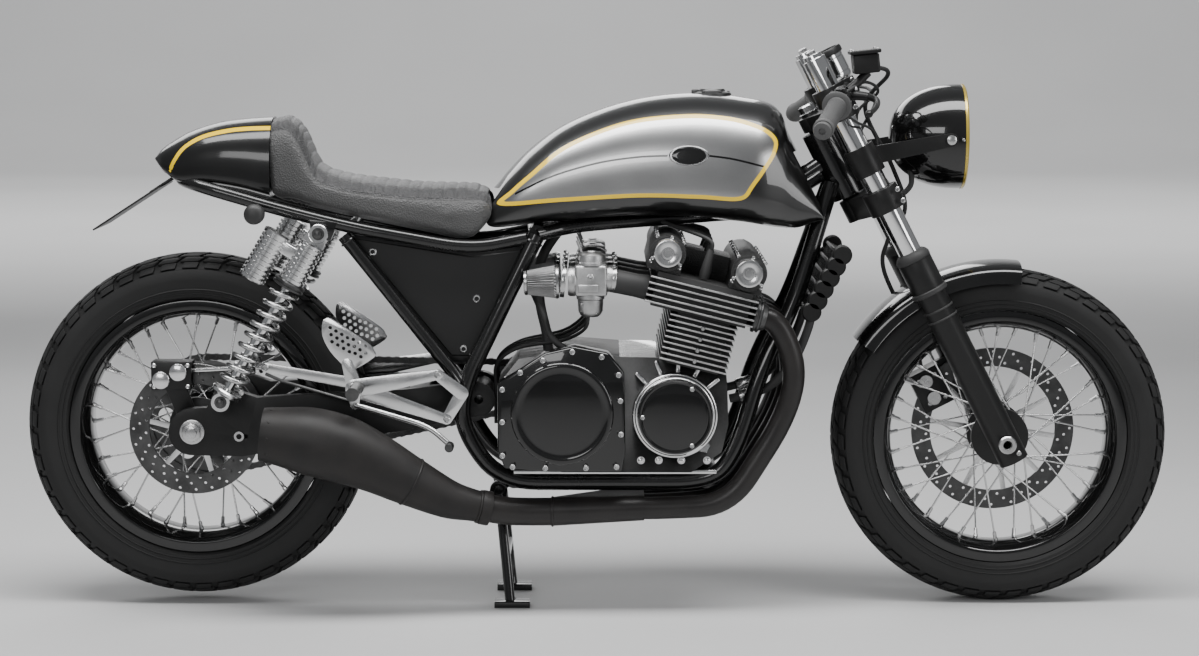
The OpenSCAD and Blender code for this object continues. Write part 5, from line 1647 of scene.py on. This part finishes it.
for side in (-1, 1):
    for x in (-150, 196):
        add(frame_bm, weld_bead((x, side * 96, 234), (0, 1, 0), 12.4))
stand_in("frame_tubes", frame_bm, "frame", [frame_black])

# %% Rear loop, struts and shock plates
RAIL = bent([(-126, 94, 671), (-225, 100, 652), (-431, 100, 689), (-564, 98, 722), (-690, 92, 758), (-742, 60, 772),
             (-752, 0, 774)], 60)


def plate(outline, y0, y1, width=1.2):
    """Flat plate seen from the side: one face, pulled out and softened."""
    bm = bmesh.new()
    face = bm.faces.new([bm.verts.new((x, y0, z)) for x, z in outline])
    pulled = bmesh.ops.extrude_face_region(bm, geom=[face])["geom"]
    bmesh.ops.translate(bm, verts=verts_of(pulled), vec=(0, y1 - y0, 0))
    outward(bm)
    soften(bm, width)
    return bm


rear_bm = tube(RAIL, 12, 18)
add(rear_bm, tube([(-452, 100, 676), (-262, 104, 436), (-244, 112, 412)], 12, 18))
add(rear_bm, plate([(-512, 706), (-508, 668), (-474, 668), (-462, 700)], 92, 112))
add(rear_bm, weld_bead((-444, 100.2, 666), (0.62, 0, -0.78), 12.6))
both_sides(rear_bm)
add(rear_bm, tube([(-440, -100, 692), (-440, 100, 692)], 10, 18))
stand_in("rear_loop", rear_bm, "rear_frame", [frame_black])
print("frame tubes drawn")

# %% [markdown]
# ## Exhaust
# Four header pipes leave the head through finned collars, pass under the engine and meet in a
# collector. The pipes are tubes on the same centre lines; the collector is the hull of its five
# openings; the silencer is one tube whose radius swells and narrows, open at its end. Heat-proof
# paint is matte, so its relief is fine and its highlight is wide.

# %% Header pipes and collector
header_black = finish("header_black", (0.012, 0.011, 0.011), (0.020, 0.018, 0.017), (0.30, 0.42), bump=0.12,
                      grain=0.0007, patch=0.06, Specular_IOR_Level=0.35)
COLLECTOR_Y = (-134, -92, -50, -8)
exhaust_bm = bmesh.new()
for y, low in zip(CARB_Y, COLLECTOR_Y):
    start = barrel_point(84.3, y, 116)
    add(exhaust_bm, tube(bent([start, barrel_point(130, y, 116), (356, y, 440), (334, y * 0.94, 350),
                               (236, (low + y) / 2, 196), (120, low, 190), (60, low, 190)], 62, 9), 20, 24))
    add(exhaust_bm, lathe([(20, 0), (29, 0), (30, 2), (30, 5), (27, 6), (27, 8), (29, 9), (29, 12), (25, 14),
                           (22, 22), (20, 23)], 28),
        placed(start, barrel_point(130, y, 116) - start), 1)
collector = bmesh.new()
for at, r in [((84, y, 190), 22) for y in COLLECTOR_Y] + [((-80, -134, 184), 26)]:
    bmesh.ops.create_circle(collector, segments=28, radius=r, matrix=placed(at, (-1, 0, 0)))
hull = bmesh.ops.convex_hull(collector, input=collector.verts)
bmesh.ops.delete(collector, geom=[g for g in hull["geom_interior"] if g.is_valid], context="VERTS")
outward(collector)
add(exhaust_bm, collector)
add(exhaust_bm, tube(smooth_path([(-70, -134, 184), (-120, -136, 184), (-160, -140, 186), (-196, -146, 192)], 5), 25,
                     28))
add(exhaust_bm, weld_bead((-80, -134, 184), (1, 0, 0), 25.6))
stand_in("header_pipes", exhaust_bm, "exhaust_pipes", [header_black, dark_steel], 42)


# %% Silencer
SILENCER = smooth_path([(-196, -146, 192), (-225, -151, 199), (-268, -160, 212), (-330, -172, 244), (-395, -183, 280),
                        (-452, -188, 305), (-510, -190, 320), (-560, -190, 328), (-592, -190, 332)], 5)
SILENCER_R = [27, 29, 35, 44, 53, 60, 60, 52, 47]


def silencer():
    radii = [smooth_value([[k, r] for k, r in enumerate(SILENCER_R)], k / 5) for k in range(len(SILENCER))]
    bm = tube(SILENCER, radii, 44)
    mouth = max((f for f in bm.faces if len(f.verts) > 10), key=lambda f: -f.calc_center_median().x)
    bmesh.ops.inset_region(bm, faces=[mouth], thickness=3.0, depth=-1.5)
    bmesh.ops.inset_region(bm, faces=[mouth], thickness=9.0, depth=0.0)
    pushed = bmesh.ops.extrude_face_region(bm, geom=[mouth])["geom"]
    bmesh.ops.translate(bm, verts=verts_of(pushed), vec=(78, 0, -11))
    bmesh.ops.delete(bm, geom=[mouth], context="FACES_ONLY")
    end, way = Vector(SILENCER[-1]), Vector((-32, 0, 4)).normalized()
    for k in range(10):
        out = Matrix.Rotation(math.tau * k / 10, 4, way) @ Vector((0, 1, 0))
        add(bm, lathe([(0, 1.8), (2.2, 1.5), (3.2, 0), (0, 0)], 8), placed(end - way * 14 + out * 48.6, out))
    for k, r in ((3, 28.2), (15, 43.6)):
        at, to = Vector(SILENCER[k]), Vector(SILENCER[k + 1])
        add(bm, weld_bead(at, to - at, r))
    band = lathe([(26.5, -9), (30.5, -9), (31, -7), (31, 7), (30.5, 9), (26.5, 9)], 40)
    add(bm, band, placed(SILENCER[1], Vector(SILENCER[2]) - Vector(SILENCER[0])))
    stand_in("silencer_can", bm, "silencer", [heat_black])


silencer()
print("silencer points", len(SILENCER))

# %% [markdown]
# ## Rear shock absorbers
# Each shock is a stack of turned parts on one tilted axis: an eye at each end, a polished rod, a
# ribbed body with its reservoir beside it, and an open coil of round spring wire. Turned parts are
# spun from their profile, and the coil is a tube along a helix.

# %% Shock frame and turned parts
SHOCK_LEN = 346.96


def shock_frame(side):
    return Matrix.Translation((-667, side * 155, 385)) @ Matrix.Rotation(math.radians(30.48), 4, "Y")


def ribbed(r, low, high, pitch, depth):
    """Profile with round-edged ribs between two heights."""
    line, z = [(0, low), (r - 2, low), (r, low + 2)], low + 3
    while z + pitch < high - 2:
        line += [(r, z), (r, z + pitch * 0.5), (r - depth, z + pitch * 0.6), (r - depth, z + pitch * 0.9)]
        z += pitch
    return line + [(r, z), (r, high - 2), (r - 3, high), (0, high)]


def shock(side):
    bm, outer = bmesh.new(), Vector((0, side, 0))
    for z in (0, SHOCK_LEN):
        eye = lathe([(7, -11), (16, -11), (17, -10), (17, 10), (16, 11), (7, 11)], 32)
        add(bm, eye, placed((0, 0, z), (0, 1, 0)), 0)
        add(bm, lathe([(6.9, -11.6), (11, -11.6), (11, 11.6), (6.9, 11.6)], 24), placed((0, 0, z), (0, 1, 0)), 1)
        add(bm, washer_stack(10, 10), placed((0, side * 11.7, z), outer), 2)
    horn = bmesh.new()
    for y in (-9, 9):
        bmesh.ops.create_circle(horn, segments=24, radius=16, matrix=placed((0, y, SHOCK_LEN), (0, 1, 0)))
    for x in (-22, 22):
        for y in (-9, 9):
            horn.verts.new((x, y, 320))
    bmesh.ops.convex_hull(horn, input=horn.verts)
    outward(horn)
    add(bm, horn, None, 0)
    add(bm, lathe([(0, 14), (9, 14), (9, 250), (0, 250)], 20), None, 3)
    add(bm, lathe([(0, 12), (14, 12), (26, 15), (29, 17), (29, 22), (27, 24), (0, 24)], 36), None, 0)
    add(bm, lathe([(0, 236), (27, 236), (29, 237), (29, 240), (26.5, 241), (26.5, 243), (29, 244), (29, 247),
                   (26, 249), (0, 249)], 36), None, 2)
    add(bm, lathe(ribbed(24, 248, 326, 9, 3.2), 36), None, 0)
    add(bm, lathe(ribbed(25, 217, 313, 8.5, 3.6), 36), Matrix.Translation((-62, 0, 0)), 0)
    add(bm, lathe([(0, 318), (5, 318), (6, 316), (6, 312), (0, 312)], 14), Matrix.Translation((-62, 0, 0)), 2)
    add(bm, rounded_box((-54, -13, 283), (-8, 13, 306), 4), None, 0)
    return move(bm, shock_frame(side))


# %% Both shocks and their springs
shock_bm, coil_bm = bmesh.new(), bmesh.new()
for side in (-1, 1):
    add(shock_bm, shock(side))
    turn = [Vector((23 * math.cos(a), 23 * math.sin(a), 31 + 197 * k / 216)) for k,
            a in enumerate([math.tau * k / 24 for k in range(217)])]
    add(coil_bm, tube(turn, 4.5, 10), shock_frame(side))
stand_in("shocks", shock_bm, "shock_absorbers", [polished_alloy, soft_rubber, dark_steel, chrome_plate], 35)
stand_in("shock_coils", coil_bm, "shock_springs", [bright_steel], 60)
print("shock length", SHOCK_LEN)

# %% [markdown]
# ## Rearsets
# The rider's feet sit on pegs held by a plate of polished alloy, with two arms to the frame and a
# heel guard drilled for lightness. Each arm is the hull of two round bosses, and the holes are
# really cut.


# %% Arms, heel guard, peg and pedal
def arm(a, b, ra, rb, y0, y1):
    """Flat arm between two round bosses."""
    bm = bmesh.new()
    for (x, z), r in ((a, ra), (b, rb)):
        for y in (y0, y1):
            bmesh.ops.create_circle(bm, segments=28, radius=r, matrix=placed((x, y, z), (0, 1, 0)))
    bmesh.ops.convex_hull(bm, input=bm.verts)
    outward(bm)
    soften(bm, 1.2, 40)
    return bm


HEEL = [(-488, 525), (-482, 531), (-472, 531), (-436, 508), (-404, 485), (-396, 474), (-396, 462), (-437, 438),
        (-450, 446), (-474, 472), (-488, 500)]
heel_bm = both_sides(plate(smooth_path(HEEL, 3, closed=True), 134, 138, 0.8))
heel = piece("heel_guards", heel_bm, body_of["footrests"], [polished_alloy], 35)
hole_bm = bmesh.new()
for row in range(7):
    for k in range(3 - (row == 6)):
        at = Vector((-474 + row * 10.2 + k * 1.5, 0, 515 - row * 6.0 - k * 12.5 + (row > 3) * 3))
        if inside(at.x, at.z, HEEL):
            bmesh.ops.create_cone(hole_bm, segments=12, radius1=3.4, radius2=3.4, depth=300, cap_ends=True,
                                  matrix=placed(at, (0, 1, 0)))
cut(heel, hole_bm)
shade(heel.data, 35)

rearset_bm = bmesh.new()
PEG, UPPER, LOWER, BOSS = (-431, 406), (-284, 431), (-268, 351), (-241, 398)
for a, b, ra, rb, inset in ((PEG, UPPER, 17, 9, 0), (PEG, LOWER, 16, 9, 0.5), (UPPER, BOSS, 9.5, 12, 0.9),
                            (LOWER, BOSS, 9.5, 12, 1.3),
                            (PEG, (-444, 450), 14, 10, 1.6), ((-447, 418), (-590, 444), 10, 8, 2.2)):
    add(rearset_bm, arm(a, b, ra, rb, 132 + inset, 140 - inset), None, 0)
add(rearset_bm, lathe([(0, 0), (10, 0), (10, 10), (0, 10)], 24), placed((-241, 127, 398), (0, 1, 0)), 0)
peg_line = [(0, 0), (13, 0), (13, 6), (9, 9)] + [p for k in range(14) for p in ((9.4, 11 + 6 * k), (11, 12.5 + 6 * k),
    (11, 15 + 6 * k), (9.4, 16.5 + 6 * k))]
add(rearset_bm, lathe(peg_line + [(12, 95), (12, 97), (0, 97)], 20), placed((-428, 139, 408), (0, 1, 0)), 1)
for x, z in (UPPER, LOWER, (-590, 444)):
    add(rearset_bm, screw(6, 5), placed((x, 138, z), (0, 1, 0)), 2)
add(rearset_bm, tube(bent([(-431, 146, 378), (-300, 148, 340), (-262, 150, 306)], 30), 5, 14), None, 0)
add(rearset_bm, lathe([(0, 0), (5, 0), (5, 8), (8, 9), (8, 36), (6.5, 38), (0, 38)], 20),
    placed((-262, 146, 306), (0, 1, 0)), 1)
add(rearset_bm, arm((-431, 406), (-431, 378), 12, 8, 141, 149), None, 0)
both_sides(rearset_bm)
add(rearset_bm, tube([(-590, -130, 444), (-735, -92, 432)], 4.5, 14), None, 0)
add(rearset_bm, tube([(-440, -152, 386), (-560, -140, 420), (-590, -134, 432)], 3, 12), None, 1)
stand_in("rearsets", rearset_bm, "footrests", [polished_alloy, dark_steel, bright_steel], 38)
print("rearsets made")

# %% [markdown]
# ## Side panels, oil cooler and small fittings
# Small parts decide whether the machine looks real: a pressed border on the side panel, thin fins
# between the cooler's tubes, lock nuts on the axle, and hoses with bright unions.

# %% Side panels
panel_black = finish("panel_black", grey(0.010), grey(0.018), (0.28, 0.38), bump=0.08, grain=0.0012, patch=0.2,
                     Specular_IOR_Level=0.35)
panel_bm = plate([(-446, 676), (-225, 650), (-116, 656), (-216, 446), (-268, 446)], 70, 76, 0.8)
face = max(panel_bm.faces, key=lambda f: f.calc_center_median().y + f.calc_area() * 1e-3)
bmesh.ops.inset_region(panel_bm, faces=[face], thickness=12, depth=0)
bmesh.ops.inset_region(panel_bm, faces=[face], thickness=2.5, depth=2.5)
for x, z in ((-402, 645), (-216, 561), (-240, 470)):
    add(panel_bm, screw(7, 4), placed((x, 76.5, z), (0, 1, 0)), 1)
for x, z, end in ((-420.3, 636, 88.4), (-169.4, 550, 86.1)):
    add(panel_bm, tube([(x, 75, z), (x, end, z)], 5, 16), None, 0)
stand_in("side_covers", both_sides(panel_bm), "side_panels", [panel_black, bright_steel], 32)

# %% Oil cooler and its hoses
COOLER = Matrix.Translation((408.8, 0, 592)) @ Matrix.Rotation(math.radians(28), 4, "Y")
cooler_bm = bmesh.new()
for k in range(6):
    z = -58 + 23 * k
    rounded_box((-14, -104, z - 3), (14, 104, z + 3), 2.4, cooler_bm)
    for side in (-1, 1):
        add(cooler_bm, lathe([(0, -8), (15, -8), (18, -5), (18, 5), (15, 8), (0, 8)], 28),
            placed((0, side * 111, z), (0, 1, 0)))
        rounded_box((-9, min(side * 105, side * 117), z - 11.5), (9, max(side * 105, side * 117), z + 11.5), 3,
                    cooler_bm)
for k in range(5):
    for row in range(34):
        box_cutter(cooler_bm, (-11, -100 + row * 6, -55 + 23 * k), (11, -99 + row * 6, -38 + 23 * k))
move(cooler_bm, COOLER)
outward(cooler_bm)
stand_in("cooler_core", cooler_bm, "oil_cooler", [satin_black])
union_bm = bmesh.new()
for k, side in enumerate((-1, 1)):
    path = [(384, side * 92, 548), (378, side * 92, 510), (352, side * 90, 450), (310, side * 86, 404),
            (262, side * 80, 386), (238, side * 78, 380)]
    lead("cooler_hose_%d" % (k + 1), path, 8, sides=14)
    for a, b in ((path[0], path[1]), (path[4], path[3])):
        a, b = Vector(a), Vector(b)
        add(union_bm, lathe([(0, -6), (9, -6), (11, -4), (11, 8), (9.6, 10), (9.6, 22), (8, 24), (0, 24)], 18),
            placed(a, b - a))
piece("hose_unions", union_bm, "root", [bright_steel], 35)

# %% Axle nuts, tail lamp, indicators and fuel cap
nut_bm = bmesh.new()
bmesh.ops.create_cone(nut_bm, segments=6, radius1=18.6, radius2=18.6, depth=12, cap_ends=True,
                      matrix=placed((-724, 131, 326), (0, 1, 0)))
soften(nut_bm, 1.4)
add(nut_bm, lathe([(0, 0), (22, 0), (22, 2.4), (20, 3), (0, 3)], 32), placed((-724, 123.6, 326), (0, 1, 0)))
for x, z in ((-667, 385), (-640, 318)):
    add(nut_bm, lathe([(5, 0), (9, 0), (9, 2.6), (5, 2.6)], 24), placed((x, 124, z), (0, 1, 0)))
piece("axle_nuts", both_sides(nut_bm), body_of["swingarm"], [bright_steel], 32)

LAMP_BACK = Matrix.Translation((-774, 0, 796)) @ Matrix.Rotation(math.radians(-125), 4, "Y")
lamp_bm = lathe([(0, 0), (15.5, 0), (15.5, 9), (14.5, 11), (13, 11), (13, 8), (0, 8)], 32)
for f in lamp_bm.faces:
    f.material_index = 1
add(lamp_bm, lathe([(0, 16), (5, 15.6), (9, 14.2), (12, 11.6), (13, 8), (0, 8)], 32), None, 0)
move(lamp_bm, LAMP_BACK)
stand_in("tail_lamp", lamp_bm, "tail_light", [red_glow, chrome_plate], 35)

signal_bm = tube([(-604, 108, 728.6), (-604, 145, 715.3)], 5, 16)
add(signal_bm, lathe([(0, 0), (10, 1), (15, 4), (18, 10), (18, 26), (16.5, 28), (16.5, 30), (13, 34), (6, 36),
                      (0, 36)], 32),
    placed((-604, 136.5, 718), (0, 1, 0)))
stand_in("signals", both_sides(signal_bm), "indicators", [moulded_black], 35)

cap_bm = lathe([(0, 17.6), (22, 17.6), (24, 16), (25, 13), (31, 12), (35, 10), (36, 7), (36, 0), (0, 0)], 48)
for k in range(6):
    a = math.tau * k / 6
    add(cap_bm, screw(2.6, 2), Matrix.Translation((30.5 * math.cos(a), 30.5 * math.sin(a), 11.6)))
rounded_box((-36, -7, 6), (-20, 7, 17), 2.5, cap_bm)
bmesh.ops.translate(cap_bm, vec=(206, 0, 916.3), verts=cap_bm.verts)
stand_in("filler_cap", cap_bm, "fuel_cap", [dark_steel], 35)


# %% Blank badge that follows the tank's side
BADGE_X, BADGE_Z = 162, 820


def tank_side(x, z):
    """Half width of the tank at a place on its side."""
    top, low, half = smooth_value(TANK_TOP, x), smooth_value(TANK_LOW, x), smooth_value(TANK_WIDE, x)
    middle = low + TANK_WAIST * (top - low)
    up = min(max((z - middle) / (top - middle), 0.0), 0.98) ** (1 / 0.9)
    return half * math.sqrt(1 - up * up) ** 0.86


badge_bm = lathe([(0, 2.2), (26, 2.2), (27.5, 1.6), (28.5, 2.6), (31, 2.6), (33, 0.4), (33, -1), (0, -1)], 64)
for f in badge_bm.faces:
    f.material_index = 1 if f.calc_center_median().xy.length < 27.4 else 0
bmesh.ops.subdivide_edges(badge_bm, edges=[e for e in badge_bm.edges if e.calc_length() > 12], cuts=3,
                          use_grid_fill=True)
for v in badge_bm.verts:
    x, z = BADGE_X + v.co.x * 1.08, BADGE_Z + v.co.y * 0.54
    v.co = Vector((x, tank_side(x, z) + v.co.z + 0.4, z))
outward(badge_bm)
piece("tank_badge", both_sides(badge_bm), "root", [bright_steel, gloss_black], 30)
print("small fittings made")

# %% Finish of every part whose shape stays
PLAIN = {
    "front_rim": (gloss_black, 0.8), "rear_rim": (gloss_black, 0.8), "front_spokes": (spoke_steel, 0),
    "rear_spokes": (spoke_steel, 0), "front_hub": (satin_black, 1.2), "rear_hub": (satin_black, 1.2),
    "front_axle": (bright_steel, 0.8), "rear_axle": (bright_steel, 0.8), "rear_sprocket": (dark_steel, 0.5),
    "fork_yokes": (satin_black, 1.5), "fork_tubes": (chrome_plate, 0.8), "fork_sliders": (satin_black, 1.2),
    "handlebars": (satin_black, 1.0), "headlight_bracket": (satin_black, 0.8), "front_caliper": (satin_black, 0.8),
    "steering_head": (frame_black, 0), "plate_bracket": (satin_black, 0.5), "swingarm": (satin_black, 1.5),
    "rear_caliper": (satin_black, 1.2), "stand_lugs": (frame_black, 0.8), "centre_stand": (frame_black, 0.8)}

# %% [markdown]
# ## Last step
# Last of all, each part whose shape stays gets its softened working copy in the finish listed for it.

# %% Finish of the plain parts
for node in nodes:
    if node in PLAIN:
        dress(node, *PLAIN[node])
